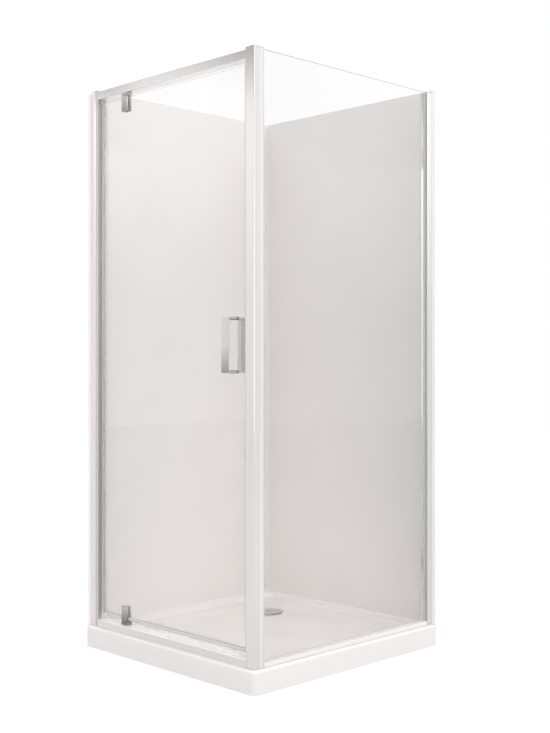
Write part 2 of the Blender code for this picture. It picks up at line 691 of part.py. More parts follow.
def build_waste_insert(carrier):
    """Strainer basket that hangs on the waste's ledge, and the cover whose stem stands in it."""
    rim_bottom = WASTE_LEDGE_LEVEL + GAP
    rim_top = rim_bottom + BASKET_WALL
    rim = WASTE_BODY_BORE - BASKET_RADIAL_CLEARANCE
    cup = WASTE_CUP_BORE - BASKET_RADIAL_CLEARANCE
    cup_bottom = rim_bottom - (WASTE_LEDGE_LEVEL - WASTE_BODY_BOTTOM) * BASKET_DEPTH_SHARE
    cup_floor = cup_bottom + BASKET_WALL
    bore = cup - BASKET_WALL
    basket = turned(
        "strainer_basket",
        ((0.0, cup_floor), (bore, cup_floor), (bore, rim_top), (rim, rim_top), (rim, rim_bottom),
         (cup, rim_bottom), (cup, cup_bottom), (0.0, cup_bottom)),
        (WASTE_X, WASTE_Y, 0), "white_nylon", steps=TURN_STEPS, carrier=carrier)
    slots = []
    for number in range(BASKET_SLOTS):
        angle = math.tau * number / BASKET_SLOTS
        x = WASTE_X + bore * BASKET_SLOT_CIRCLE_SHARE * math.cos(angle)
        y = WASTE_Y + bore * BASKET_SLOT_CIRCLE_SHARE * math.sin(angle)
        slots.append(((x, y, cup_bottom - OVERRUN), (x, y, cup_floor + OVERRUN), BASKET_SLOT_RADIUS))
    combine(basket, "DIFFERENCE", rods=slots)
    bottom = FLANGE_TOP + COVER_WATER_GAP
    edge = bottom + COVER_EDGE_THICKNESS
    stem_foot = cup_floor + GAP
    dome = [(COVER_RADIUS * share, edge + COVER_CROWN * (1 - share ** 2))
            for share in COVER_DOME_SHARES]
    turned(
        "waste_cover",
        (*dome, (COVER_RADIUS, edge - COVER_CROWN / 2), (COVER_RADIUS, bottom),
         (COVER_STEM_RADIUS, bottom), (COVER_STEM_RADIUS, stem_foot), (0.0, stem_foot)),
        (WASTE_X, WASTE_Y, 0), "grey_waste", steps=TURN_STEPS, carrier=carrier)


# Wall liner

def build_wall_liner():
    """One moulded sheet over both walls, coved at the back corner."""
    front_end = FRONT + LINER_FRONT_SET
    right_end = RIGHT - LINER_SIDE_SET
    outer = WALL_CORNER_RADIUS
    corners = ((LEFT, front_end), (LINER_FACE_X, front_end),
               (LINER_FACE_X, LINER_FACE_Y, outer + LINER_THICKNESS), (right_end, LINER_FACE_Y),
               (right_end, BACK), (LEFT, BACK, outer))
    extrusion("wall_liner", [outline(corners)], FRAME_FOOT, POST_TOP + LINER_ABOVE_POST, UPRIGHT,
              "white_acrylic")


# Frame sections

def post_outline():
    """The post's outer outline, with the two glazing-strip grooves and the glass pocket."""
    groove = SECTION_WALL * GROOVE_DEPTH_SHARE
    first = FRAME_FRONT + GROOVE_FROM_NOSE
    second = first + GROOVE_WIDTH + GLAZING_STRIP_WIDTH
    corners = [(FRAME_INNER, FRAME_FRONT, SECTION_EDGE_RADIUS),
               (FRAME_RIGHT, FRAME_FRONT, POST_NOSE_RADIUS)]
    for start in (first, second):
        corners += [(FRAME_RIGHT, start), (FRAME_RIGHT - groove, start),
                    (FRAME_RIGHT - groove, start + GROOVE_WIDTH), (FRAME_RIGHT, start + GROOVE_WIDTH)]
    pocket_end = FRAME_BACK - POST_POCKET_DEPTH
    corners += [(FRAME_RIGHT, FRAME_BACK, SECTION_EDGE_RADIUS), (POCKET_RIGHT, FRAME_BACK),
                (POCKET_RIGHT, pocket_end), (POCKET_LEFT, pocket_end), (POCKET_LEFT, FRAME_BACK),
                (FRAME_INNER, FRAME_BACK, SECTION_EDGE_RADIUS)]
    return outline(corners)


POST_CHAMBER = (FRAME_INNER + SECTION_WALL, FRAME_RIGHT - SECTION_WALL,
                FRAME_FRONT + SECTION_WALL, FRAME_BACK - POST_POCKET_DEPTH - SECTION_WALL)


def build_corner_post():
    inner = FRAME_BACK - POST_POCKET_DEPTH
    loops = [post_outline(), box_outline(*POST_CHAMBER),
             box_outline(FRAME_INNER + SECTION_WALL, POCKET_LEFT - SECTION_WALL, inner,
                         FRAME_BACK - SECTION_WALL),
             box_outline(POCKET_RIGHT + SECTION_WALL, FRAME_RIGHT - SECTION_WALL, inner,
                         FRAME_BACK - SECTION_WALL)]
    extrusion("corner_post", loops, FRAME_FOOT, POST_TOP, UPRIGHT, "satin_aluminium")


def add_spigot(cap, chamber, thickness):
    """A peg under a cap that fits the chamber (left, right, front, back) of its section."""
    left, right, front, back = chamber
    ease = CAP_SPIGOT_CLEARANCE
    low = (left + ease, front + ease, POST_TOP - CAP_SPIGOT_DEPTH)
    high = (right - ease, back - ease, POST_TOP + GAP + thickness / 2)
    combine(cap, "UNION", boxes=[(low, high)])


def build_corner_post_cap():
    slot_left = RETURN_GLASS_X - GLASS_HALF - CAP_SLOT_CLEARANCE
    slot_right = RETURN_GLASS_X + GLASS_HALF + CAP_SLOT_CLEARANCE
    slot_end = RETURN_GLASS_FRONT - CAP_SLOT_CLEARANCE
    corners = ((FRAME_INNER, FRAME_FRONT, SECTION_EDGE_RADIUS),
               (FRAME_RIGHT, FRAME_FRONT, POST_NOSE_RADIUS),
               (FRAME_RIGHT, FRAME_BACK, SECTION_EDGE_RADIUS), (slot_right, FRAME_BACK),
               (slot_right, slot_end), (slot_left, slot_end), (slot_left, FRAME_BACK),
               (FRAME_INNER, FRAME_BACK, SECTION_EDGE_RADIUS))
    bottom = POST_TOP + GAP
    cap = extrusion("corner_post_cap", [outline(corners)], bottom, bottom + POST_CAP_THICKNESS,
                    UPRIGHT, "satin_aluminium")
    add_spigot(cap, POST_CHAMBER, POST_CAP_THICKNESS)


def rail_loops(bottom, top, nose):
    """A hollow rail seen along X: front edges rounded, square at the cabin side."""
    low_nose = min(nose, SECTION_EDGE_RADIUS)
    outer = outline([(FRAME_FRONT, bottom, low_nose), (FRAME_BACK, bottom, SECTION_EDGE_RADIUS),
                     (FRAME_BACK, top, SECTION_EDGE_RADIUS), (FRAME_FRONT, top, nose)])
    inner = outline([(FRAME_FRONT + SECTION_WALL, bottom + SECTION_WALL),
                     (FRAME_BACK - SECTION_WALL, bottom + SECTION_WALL),
                     (FRAME_BACK - SECTION_WALL, top - SECTION_WALL),
                     (FRAME_FRONT + SECTION_WALL, top - SECTION_WALL, nose - SECTION_WALL)])
    return [outer, inner]


def bracket_screw_places():
    return [PIVOT_X - BRACKET_SCREW_SPACING / 2, PIVOT_X + BRACKET_SCREW_SPACING / 2]


def build_rails():
    """Head rail over the door and sill under it, drilled for the pivot brackets' screws."""
    start, end = JAMB_RIGHT + GAP, FRAME_INNER - GAP
    head = extrusion("head_rail", rail_loops(HEAD_BOTTOM, HEAD_TOP, RAIL_NOSE_RADIUS), start, end,
                     ALONG_X, "satin_aluminium")
    sill = extrusion("sill_rail", rail_loops(FRAME_FOOT, SILL_TOP, RAIL_NOSE_RADIUS), start, end,
                     ALONG_X, "satin_aluminium")
    hole = BRACKET_SCREW_RADIUS + SCREW_HOLE_CLEARANCE
    for rail, face in ((head, HEAD_BOTTOM), (sill, SILL_TOP)):
        low, high = face - SECTION_WALL - OVERRUN, face + SECTION_WALL + OVERRUN
        combine(rail, "DIFFERENCE",
                rods=[((x, DOOR_Y, low), (x, DOOR_Y, high), hole) for x in bracket_screw_places()])


def jamb_screw_levels():
    return [FRAME_FOOT + POST_LENGTH * share for share in JAMB_SCREW_SHARES]


def build_door_jamb():
    """Channel on the lined wall, the jamb that slides in it, and the screws that hold the two."""
    wall = SECTION_WALL
    channel = outline([(CHANNEL_LEFT, FRAME_FRONT, SECTION_EDGE_RADIUS), (CHANNEL_RIGHT, FRAME_FRONT),
                       (CHANNEL_RIGHT, FRAME_FRONT + wall), (CHANNEL_LEFT + wall, FRAME_FRONT + wall),
                       (CHANNEL_LEFT + wall, FRAME_BACK - wall), (CHANNEL_RIGHT, FRAME_BACK - wall),
                       (CHANNEL_RIGHT, FRAME_BACK), (CHANNEL_LEFT, FRAME_BACK, SECTION_EDGE_RADIUS)])
    channel_piece = extrusion("wall_channel_door", [channel], FRAME_FOOT, POST_TOP, UPRIGHT,
                              "satin_aluminium")
    rebate = DOOR_Y - JAMB_REBATE_SET
    side = JAMB_RIGHT - JAMB_REBATE_WIDTH
    outer = outline([(JAMB_LEFT, JAMB_FRONT), (JAMB_RIGHT, JAMB_FRONT, SECTION_EDGE_RADIUS),
                     (JAMB_RIGHT, rebate), (side, rebate), (side, JAMB_BACK, SECTION_EDGE_RADIUS),
                     (JAMB_LEFT, JAMB_BACK)])
    chamber = (JAMB_LEFT + wall, side - wall, JAMB_FRONT + wall, JAMB_BACK - wall)
    jamb = extrusion("jamb_profile", [outer, box_outline(*chamber)], FRAME_FOOT, POST_TOP, UPRIGHT,
                     "satin_aluminium")
    x = (JAMB_LEFT + CHANNEL_RIGHT) / 2
    hole = JAMB_SCREW_RADIUS + SCREW_HOLE_CLEARANCE
    inside = JAMB_BACK - wall - OVERRUN
    for piece in (channel_piece, jamb):
        combine(piece, "DIFFERENCE",
                rods=[((x, inside, z), (x, FRAME_BACK + OVERRUN, z), hole)
                      for z in jamb_screw_levels()])
    profile = screw_profile(JAMB_SCREW_HEAD_RADIUS, JAMB_SCREW_HEAD_HEIGHT, JAMB_SCREW_RADIUS,
                            JAMB_SCREW_LENGTH)
    for number, z in enumerate(jamb_screw_levels(), 1):
        turned("jamb_screw_" + str(number), profile, (x, FRAME_BACK + GAP, z), "steel_screw",
               turn=TOWARDS_CABIN)
    bottom = POST_TOP + GAP
    cap_outline = outline([(CHANNEL_LEFT, FRAME_FRONT, SECTION_EDGE_RADIUS),
                           (JAMB_RIGHT, FRAME_FRONT, SECTION_EDGE_RADIUS), (JAMB_RIGHT, FRAME_BACK),
                           (CHANNEL_LEFT, FRAME_BACK)])
    cap = extrusion("jamb_cap", [cap_outline], bottom, bottom + CHANNEL_CAP_THICKNESS, UPRIGHT,
                    "satin_aluminium")
    add_spigot(cap, chamber, CHANNEL_CAP_THICKNESS)


def build_return_wall_channel():
    """Hollow channel on the back wall whose pocket takes the return glass and its gasket."""
    left = RETURN_GLASS_X - RETURN_GLASS_SET
    wall = SECTION_WALL
    front, back = RETURN_CHANNEL_FRONT, RETURN_CHANNEL_BACK
    pocket_end = front + WALL_POCKET_DEPTH
    outer = outline([(left, front, SECTION_EDGE_RADIUS), (POCKET_LEFT, front),
                     (POCKET_LEFT, pocket_end), (POCKET_RIGHT, pocket_end), (POCKET_RIGHT, front),
                     (FRAME_RIGHT, front, SECTION_EDGE_RADIUS), (FRAME_RIGHT, back), (left, back)])
    chambers = ((left + wall, POCKET_LEFT - wall, front + wall, back - wall),
                (POCKET_RIGHT + wall, FRAME_RIGHT - wall, front + wall, back - wall))
    middle = box_outline(POCKET_LEFT, POCKET_RIGHT, pocket_end + wall, back - wall)
    loops = [outer, box_outline(*chambers[0]), box_outline(*chambers[1]), middle]
    extrusion("wall_channel_return", loops, FRAME_FOOT, POST_TOP, UPRIGHT, "satin_aluminium")
    slot_left = RETURN_GLASS_X - GLASS_HALF - CAP_SLOT_CLEARANCE
    slot_right = RETURN_GLASS_X + GLASS_HALF + CAP_SLOT_CLEARANCE
    slot_end = RETURN_GLASS_BACK + CAP_SLOT_CLEARANCE
    cap_outline = outline([(left, front, SECTION_EDGE_RADIUS), (slot_left, front),
                           (slot_left, slot_end), (slot_right, slot_end), (slot_right, front),
                           (FRAME_RIGHT, front, SECTION_EDGE_RADIUS), (FRAME_RIGHT, back),
                           (left, back)])
    bottom = POST_TOP + GAP
    cap = extrusion("wall_channel_return_cap", [cap_outline], bottom,
                    bottom + CHANNEL_CAP_THICKNESS, UPRIGHT, "satin_aluminium")
    for chamber in chambers:
        add_spigot(cap, chamber, CHANNEL_CAP_THICKNESS)


def build_return_bottom_channel():
    """Hollow sill, flush with the post, whose pocket takes the return glass and its gasket."""
    left, right = RETURN_GLASS_X - RETURN_GLASS_SET, FRAME_RIGHT
    wall = SECTION_WALL
    low, high = FRAME_FOOT, BOTTOM_CHANNEL_TOP
    outer = outline([(left, low), (right, low), (right, high, SECTION_EDGE_RADIUS),
                     (POCKET_RIGHT, high), (POCKET_RIGHT, BOTTOM_CHANNEL_WEB_TOP),
                     (POCKET_LEFT, BOTTOM_CHANNEL_WEB_TOP), (POCKET_LEFT, high),
                     (left, high, SECTION_EDGE_RADIUS)])
    loops = [outer, box_outline(left + wall, POCKET_LEFT - wall, low + wall, high - wall),
             box_outline(POCKET_RIGHT + wall, right - wall, low + wall, high - wall)]
    extrusion("return_bottom_channel", loops, FRAME_BACK + GAP, WALL_GASKET_FRONT - GAP, ALONG_Y,
              "satin_aluminium")


# Return glass and its gaskets

def build_return_glass():
    section = box_outline(RETURN_GLASS_X - GLASS_HALF, RETURN_GLASS_X + GLASS_HALF,
                          RETURN_GLASS_FRONT, RETURN_GLASS_BACK)
    extrusion("return_glass", [section], RETURN_GLASS_BOTTOM, RETURN_GLASS_TOP, UPRIGHT,
              "clear_glass")


def gasket_section(glass_edge, mouth, outward, flange=()):
    """A trough over a glass edge, drawn across the glass: base beyond the edge, arms to the mouth.

    The flange is a run of points that takes the place of the outer arm's end.
    """
    inner = GLASS_HALF + GAP
    outer = inner + GASKET_WALL
    base_in = glass_edge + outward * GAP
    base_out = base_in + outward * GASKET_WALL
    x = RETURN_GLASS_X
    outer_end = flange or ((x + outer, mouth),)
    return [(x - outer, mouth), (x - inner, mouth), (x - inner, base_in), (x + inner, base_in),
            (x + inner, mouth), *outer_end, (x + outer, base_out), (x - outer, base_out)]


def build_return_gaskets():
    """Dark gasket with a flange over the wall channel, and slim ones at the post and the bottom."""
    bottom = BOTTOM_CHANNEL_WEB_TOP + GAP
    flange_right = FRAME_RIGHT - WALL_GASKET_EDGE_SET
    flange_left = RETURN_GLASS_X + GLASS_HALF + GAP + GASKET_WALL
    flange_back = WALL_GASKET_FRONT + WALL_GASKET_FLANGE
    flange = ((flange_right, WALL_GASKET_FRONT), (flange_right, flange_back),
              (flange_left, flange_back))
    post_mouth = FRAME_BACK + GASKET_LIP
    extrusion("return_wall_gasket",
              [gasket_section(RETURN_GLASS_BACK, WALL_GASKET_FRONT, 1, flange)], bottom, POST_TOP,
              UPRIGHT, "grey_seal")
    extrusion("return_post_gasket", [gasket_section(RETURN_GLASS_FRONT, post_mouth, -1)], bottom,
              POST_TOP, UPRIGHT, "clear_seal")
    bottom_mouth = BOTTOM_CHANNEL_TOP + GASKET_LIP
    extrusion("return_bottom_gasket", [gasket_section(RETURN_GLASS_BOTTOM, bottom_mouth, -1)],
              post_mouth + GAP, WALL_GASKET_FRONT - GAP, ALONG_Y, "clear_seal")


# Door glass, seals and strike

def circle_outline(x, y, radius):
    return [(x + radius * math.cos(math.tau * side / ROD_SIDES),
             y + radius * math.sin(math.tau * side / ROD_SIDES)) for side in range(ROD_SIDES)]


def clamp_screw_xs():
    return [PIVOT_X - CLAMP_SCREW_SPACING / 2, PIVOT_X + CLAMP_SCREW_SPACING / 2]


def clamp_screw_level(end):
    """Height of the clamp screws at the bottom (-1) or top (+1) of the door."""
    edge = DOOR_BOTTOM if end < 0 else DOOR_TOP
    return edge - end * CLAMP_SCREW_FROM_GLASS_EDGE


def handle_stud_levels():
    return [HANDLE_FOOT + HANDLE_ARM / 2, HANDLE_HEAD - HANDLE_ARM / 2]


def build_door_glass(carrier):
    """Pane notched at both pivots and bored for the clamp screws and the handles' studs."""
    notch = CORE_WIDTH / 2 + NOTCH_CLEARANCE
    depth = CORE_INTO_GLASS + NOTCH_CLEARANCE
    pane = [(DOOR_LEFT, DOOR_BOTTOM), (PIVOT_X - notch, DOOR_BOTTOM),
            (PIVOT_X - notch, DOOR_BOTTOM + depth), (PIVOT_X + notch, DOOR_BOTTOM + depth),
            (PIVOT_X + notch, DOOR_BOTTOM), (DOOR_RIGHT, DOOR_BOTTOM), (DOOR_RIGHT, DOOR_TOP),
            (PIVOT_X + notch, DOOR_TOP), (PIVOT_X + notch, DOOR_TOP - depth),
            (PIVOT_X - notch, DOOR_TOP - depth), (PIVOT_X - notch, DOOR_TOP), (DOOR_LEFT, DOOR_TOP)]
    clamp_hole = CLAMP_SCREW_RADIUS + GLASS_HOLE_CLEARANCE
    stud_hole = HANDLE_STUD_RADIUS + GLASS_HOLE_CLEARANCE
    loops = [pane]
    loops += [circle_outline(x, clamp_screw_level(end), clamp_hole)
              for end in (-1, 1) for x in clamp_screw_xs()]
    loops += [circle_outline(HANDLE_X, z, stud_hole) for z in handle_stud_levels()]
    extrusion("door_glass", loops, DOOR_Y - GLASS_HALF, DOOR_Y + GLASS_HALF, ALONG_Y, "clear_glass",
              carrier)


def clip_section(arm, reach, lean=0.0, cabin_arm_share=1.0):
    """A seal clipped over a glass edge, as (beyond the edge, across the glass) points."""
    cabin_arm = arm * cabin_arm_share
    inner = GLASS_HALF + GAP
    outer = inner + SEAL_WALL
    base = GAP + SEAL_WALL
    nose = SEAL_NOSE_WIDTH / 2
    tip = nose / 2
    return [(-arm, -outer), (base, -outer), (base, -nose), (reach, lean - tip), (reach, lean + tip),
            (base, nose), (base, outer), (-cabin_arm, outer), (-cabin_arm, inner), (GAP, inner),
            (GAP, -inner), (-arm, -inner)]


def build_door_seals(carrier):
    """Edge seals on the pivot and closing sides, and the drip seal under the door in two lengths."""
    pivot_reach = PIVOT_EDGE_GAP - SEAL_RUNNING_GAP
    closing_reach = CLOSING_EDGE_GAP - GAP - STRIKE_BASE - SEAL_RUNNING_GAP
    pivot_side = [(DOOR_LEFT - u, DOOR_Y + v)
                  for u, v in clip_section(SEAL_ARM, pivot_reach,
                                           cabin_arm_share=PIVOT_SEAL_CABIN_ARM_SHARE)]
    closing_side = [(DOOR_RIGHT + u, DOOR_Y + v) for u, v in clip_section(SEAL_ARM, closing_reach)]
    extrusion("door_pivot_seal", [pivot_side], DOOR_BOTTOM, DOOR_TOP, UPRIGHT, "grey_seal", carrier)
    extrusion("door_closing_seal", [closing_side], DOOR_BOTTOM, DOOR_TOP, UPRIGHT, "clear_seal",
              carrier)
    drip_reach = DOOR_FOOT_GAP - DRIP_FIN_ABOVE_SILL
    drip = [(DOOR_Y + v, DOOR_BOTTOM - u)
            for u, v in clip_section(DRIP_SEAL_ARM, drip_reach, DRIP_FIN_LEAN)]
    seal_left, seal_right = DOOR_LEFT + SEAL_ARM + GAP, DOOR_RIGHT - SEAL_ARM - GAP
    extrusion("drip_seal_short", [drip], seal_left, HINGE_LEFT - GAP, ALONG_X, "grey_seal", carrier)
    extrusion("drip_seal_long", [drip], HINGE_RIGHT + GAP, seal_right, ALONG_X, "grey_seal", carrier)


def build_strike_profile():
    """Angle on the post whose lip stands behind the closing seal, on the cabin side."""
    post_side = FRAME_INNER - GAP
    face = post_side - STRIKE_BASE
    lip_front = DOOR_Y + GLASS_HALF + GAP + SEAL_WALL + STRIKE_SEAL_CLEARANCE
    lip_back = lip_front + STRIKE_LIP
    section = outline([(face, DOOR_Y - STRIKE_FRONT_WIDTH), (post_side, DOOR_Y - STRIKE_FRONT_WIDTH),
                       (post_side, lip_back), (face - STRIKE_LIP_REACH, lip_back, STRIKE_LIP / 4),
                       (face - STRIKE_LIP_REACH, lip_front, STRIKE_LIP / 4), (face, lip_front)])
    extrusion("strike_profile", [section], SILL_TOP + GAP, HEAD_BOTTOM - GAP, UPRIGHT,
              "satin_aluminium")


# Pivot hinges

def hinge_span(end):
    """Lowest and highest level of the hinge at the bottom (-1) or top (+1) of the door."""
    if end < 0:
        return BOTTOM_HINGE_FOOT, BOTTOM_HINGE_FOOT + HINGE_HEIGHT
    return TOP_HINGE_HEAD - HINGE_HEIGHT, TOP_HINGE_HEAD


def core_span(end, clearance=0.0):
    """Levels of the core that fills the glass notch, with an allowance at its inner end."""
    if end < 0:
        return BOTTOM_HINGE_FOOT, DOOR_BOTTOM + CORE_INTO_GLASS + clearance
    return DOOR_TOP - CORE_INTO_GLASS - clearance, TOP_HINGE_HEAD


def build_pivot_block(name, end, carrier):
    """Outer half of a pivot: face plate, core through the glass notch, bore and screw seats."""
    low, high = hinge_span(end)
    piece = block(name, (HINGE_LEFT, DOOR_Y - HINGE_FACE, low), (HINGE_RIGHT, DOOR_Y - PAD_FACE, high),
                  "polished_chrome", HINGE_EDGE_RADIUS, carrier)
    core_low, core_high = core_span(end)
    combine(piece, "UNION", boxes=[((PIVOT_X - CORE_WIDTH / 2, DOOR_Y - PAD_FACE - HINGE_PLATE / 2,
                                     core_low + HINGE_EDGE_RADIUS),
                                    (PIVOT_X + CORE_WIDTH / 2, DOOR_Y + PAD_FACE + CORE_BEYOND_PAD,
                                     core_high - HINGE_EDGE_RADIUS))])
    mouth = low if end < 0 else high
    bore_end = mouth - end * (BUSH_LENGTH + GAP)
    combine(piece, "DIFFERENCE", rods=[((PIVOT_X, DOOR_Y, mouth + end * OVERRUN),
                                        (PIVOT_X, DOOR_Y, bore_end), BORE_RADIUS)])
    z = clamp_screw_level(end)
    seat = CLAMP_SCREW_RADIUS + SCREW_HOLE_CLEARANCE
    depth = DOOR_Y - PAD_FACE - CLAMP_SCREW_BITE - GAP
    combine(piece, "DIFFERENCE", rods=[((x, depth, z), (x, DOOR_Y - PAD_FACE + OVERRUN, z), seat)
                                       for x in clamp_screw_xs()])


def build_clamp_plate(name, end, carrier):
    """Inner half of a pivot, pocketed for the core and bored for the two screws."""
    low, high = hinge_span(end)
    piece = block(name, (HINGE_LEFT, DOOR_Y + PAD_FACE, low), (HINGE_RIGHT, DOOR_Y + HINGE_FACE, high),
                  "polished_chrome", HINGE_EDGE_RADIUS, carrier)
    pocket_low, pocket_high = core_span(end, GAP)
    if end < 0:
        pocket_low -= OVERRUN
    else:
        pocket_high += OVERRUN
    half = CORE_WIDTH / 2 + GAP
    combine(piece, "DIFFERENCE",
            boxes=[((PIVOT_X - half, DOOR_Y + PAD_FACE - OVERRUN, pocket_low),
                    (PIVOT_X + half, DOOR_Y + PAD_FACE + CORE_BEYOND_PAD + GAP, pocket_high))])
    z = clamp_screw_level(end)
    hole = CLAMP_SCREW_RADIUS + SCREW_HOLE_CLEARANCE
    combine(piece, "DIFFERENCE",
            rods=[((x, DOOR_Y + PAD_FACE - OVERRUN, z), (x, DOOR_Y + HINGE_FACE + OVERRUN, z), hole)
                  for x in clamp_screw_xs()])


def build_clamp_pad(name, end, side, carrier):
    """Thin pad between the glass and a hinge plate, notched like the glass."""
    low, high = hinge_span(end)
    core_low, core_high = core_span(end, NOTCH_CLEARANCE)
    half = CORE_WIDTH / 2 + NOTCH_CLEARANCE
    inner_end, outer_end = (core_high, low) if end < 0 else (core_low, high)
    far_end = high if end < 0 else low
    corners = [(HINGE_LEFT, outer_end), (PIVOT_X - half, outer_end), (PIVOT_X - half, inner_end),
               (PIVOT_X + half, inner_end), (PIVOT_X + half, outer_end), (HINGE_RIGHT, outer_end),
               (HINGE_RIGHT, far_end), (HINGE_LEFT, far_end)]
    hole = CLAMP_SCREW_RADIUS + SCREW_HOLE_CLEARANCE
    loops = [corners] + [circle_outline(x, clamp_screw_level(end), hole) for x in clamp_screw_xs()]
    near = GLASS_HALF + GAP
    start, stop = sorted((DOOR_Y + side * near, DOOR_Y + side * (near + CLAMP_PAD)))
    extrusion(name, loops, start, stop, ALONG_Y, "clear_seal", carrier)


def build_clamp_screws(name, end, carrier):
    shank = HINGE_FACE + PAD_FACE + CLAMP_SCREW_BITE + GAP
    profile = screw_profile(CLAMP_SCREW_HEAD_RADIUS, CLAMP_SCREW_HEAD_HEIGHT, CLAMP_SCREW_RADIUS,
                            shank)
    for number, x in enumerate(clamp_screw_xs(), 1):
        turned(name + "_" + str(number), profile,
               (x, DOOR_Y + HINGE_FACE + GAP, clamp_screw_level(end)), "steel_screw",
               turn=TOWARDS_CABIN, carrier=carrier)


def build_pivot_bush(name, end, carrier):
    """Flanged bush in the block's bore; its flange keeps the block off the fixed bracket."""
    flange_radius = BUSH_RADIUS + GAP + BUSH_WALL + BUSH_WALL
    flange = HINGE_RUNNING_GAP - 2 * GAP
    bore = PIN_RADIUS + GAP
    profile = ((flange_radius, GAP + flange), (flange_radius, GAP), (BUSH_RADIUS, GAP),
               (BUSH_RADIUS, -BUSH_LENGTH), (bore, -BUSH_LENGTH), (bore, GAP + flange))
    mouth = BOTTOM_HINGE_FOOT if end < 0 else TOP_HINGE_HEAD
    turned(name, profile, (PIVOT_X, DOOR_Y, mouth), "white_nylon", ring=True, steps=ROD_SIDES,
           turn=UPSIDE_DOWN if end < 0 else UPRIGHT, carrier=carrier)


def build_bracket(name, end):
    """Fixed pivot plate on the sill or under the head rail, its pin, and two sunk screws."""
    if end < 0:
        low, high = SILL_TOP + GAP, BOTTOM_HINGE_FOOT - HINGE_RUNNING_GAP
    else:
        low, high = TOP_HINGE_HEAD + HINGE_RUNNING_GAP, HEAD_BOTTOM - GAP
    seat, face = (low, high) if end < 0 else (high, low)
    plate = block(name, (HINGE_LEFT, DOOR_Y - BRACKET_DEPTH / 2, low),
                  (HINGE_RIGHT, DOOR_Y + BRACKET_DEPTH / 2, high), "polished_chrome",
                  HINGE_EDGE_RADIUS)
    hole = BRACKET_SCREW_RADIUS + SCREW_HOLE_CLEARANCE
    sink = BRACKET_SCREW_HEAD_RADIUS + SCREW_HOLE_CLEARANCE
    seat_level = face + end * BRACKET_SCREW_SINK
    through = [((x, DOOR_Y, seat + end * OVERRUN), (x, DOOR_Y, face - end * OVERRUN), hole)
               for x in bracket_screw_places()]
    through.append(((PIVOT_X, DOOR_Y, seat + end * OVERRUN), (PIVOT_X, DOOR_Y, face - end * OVERRUN),
                    PIN_RADIUS + GAP))
    combine(plate, "DIFFERENCE", rods=through)
    combine(plate, "DIFFERENCE",
            rods=[((x, DOOR_Y, seat_level), (x, DOOR_Y, face - end * OVERRUN), sink)
                  for x in bracket_screw_places()])
    shank = abs(seat - seat_level) + SECTION_WALL + BRACKET_SCREW_LENGTH_IN_RAIL
    profile = screw_profile(BRACKET_SCREW_HEAD_RADIUS, BRACKET_SCREW_HEAD_HEIGHT,
                            BRACKET_SCREW_RADIUS, shank)
    for number, x in enumerate(bracket_screw_places(), 1):
        turned(name + "_screw_" + str(number), profile, (x, DOOR_Y, seat_level - end * GAP),
               "steel_screw", turn=UPRIGHT if end < 0 else UPSIDE_DOWN)
    pin_inside = abs(face - seat)
    pin_outside = HINGE_RUNNING_GAP + BUSH_LENGTH - GAP
    tip = PIN_RADIUS / 4
    pin = ((0.0, pin_outside), (PIN_RADIUS - tip, pin_outside), (PIN_RADIUS, pin_outside - tip),
           (PIN_RADIUS, GAP - pin_inside), (0.0, GAP - pin_inside))
    turned(name.replace("bracket", "pin"), pin, (PIVOT_X, DOOR_Y, face), "steel_screw",
           steps=ROD_SIDES, turn=UPRIGHT if end < 0 else UPSIDE_DOWN)


def build_hinges(carrier):
    for end, place in ((-1, "bottom"), (1, "top")):
        build_pivot_block(place + "_pivot_block", end, carrier)
        build_clamp_plate(place + "_clamp_plate", end, carrier)
        build_clamp_pad(place + "_clamp_pad_outer", end, -1, carrier)
        build_clamp_pad(place + "_clamp_pad_inner", end, 1, carrier)
        build_clamp_screws(place + "_clamp_screw", end, carrier)
        build_pivot_bush(place + "_pivot_bush", end, carrier)
        build_bracket(place + "_pivot_bracket", end)


# Handles

def build_handle(name, side, projection, carrier):
    """Bar bent to a D, its two arms standing on the glass, drilled for the studs."""
    face = DOOR_Y + side * HANDLE_FACE
    grip = DOOR_Y + side * (GLASS_HALF + projection)
    inside = grip - side * HANDLE_GRIP
    edge = HANDLE_EDGE_RADIUS
    section = outline([(face, HANDLE_FOOT), (grip, HANDLE_FOOT, edge), (grip, HANDLE_HEAD, edge),
                       (face, HANDLE_HEAD), (face, HANDLE_HEAD - HANDLE_ARM),
                       (inside, HANDLE_HEAD - HANDLE_ARM, edge),
                       (inside, HANDLE_FOOT + HANDLE_ARM, edge), (face, HANDLE_FOOT + HANDLE_ARM)])
    piece = extrusion(name, [section], HANDLE_X - HANDLE_WIDTH / 2, HANDLE_X + HANDLE_WIDTH / 2,
                      ALONG_X, "polished_chrome", carrier)
    hole = HANDLE_STUD_RADIUS + GAP
    deep = face + side * (HANDLE_STUD_BITE + GAP)
    combine(piece, "DIFFERENCE",
            rods=[((HANDLE_X, face - side * OVERRUN, z), (HANDLE_X, deep, z), hole)
                  for z in handle_stud_levels()])


def build_handles(carrier):
    build_handle("handle_outer", -1, HANDLE_PROJECTION, carrier)
    build_handle("handle_inner", 1, HANDLE_INNER_PROJECTION, carrier)
    half = HANDLE_FACE + HANDLE_STUD_BITE
    profile = ((0.0, half), (HANDLE_STUD_RADIUS, half), (HANDLE_STUD_RADIUS, -half), (0.0, -half))
    for name, z in zip(("handle_stud_lower", "handle_stud_upper"), handle_stud_levels()):
        turned(name, profile, (HANDLE_X, DOOR_Y, z), "steel_screw", turn=TOWARDS_CABIN,
               carrier=carrier)


def build_enclosure():
    build_shower_tray()
    build_tray_foam_base()
    build_waste_body()
    build_waste_fixings()
    build_wall_liner()
    build_corner_post()
    build_corner_post_cap()
    build_rails()
    build_door_jamb()
    build_return_wall_channel()
    build_return_bottom_channel()
    build_return_glass()
    build_return_gaskets()
    build_strike_profile()


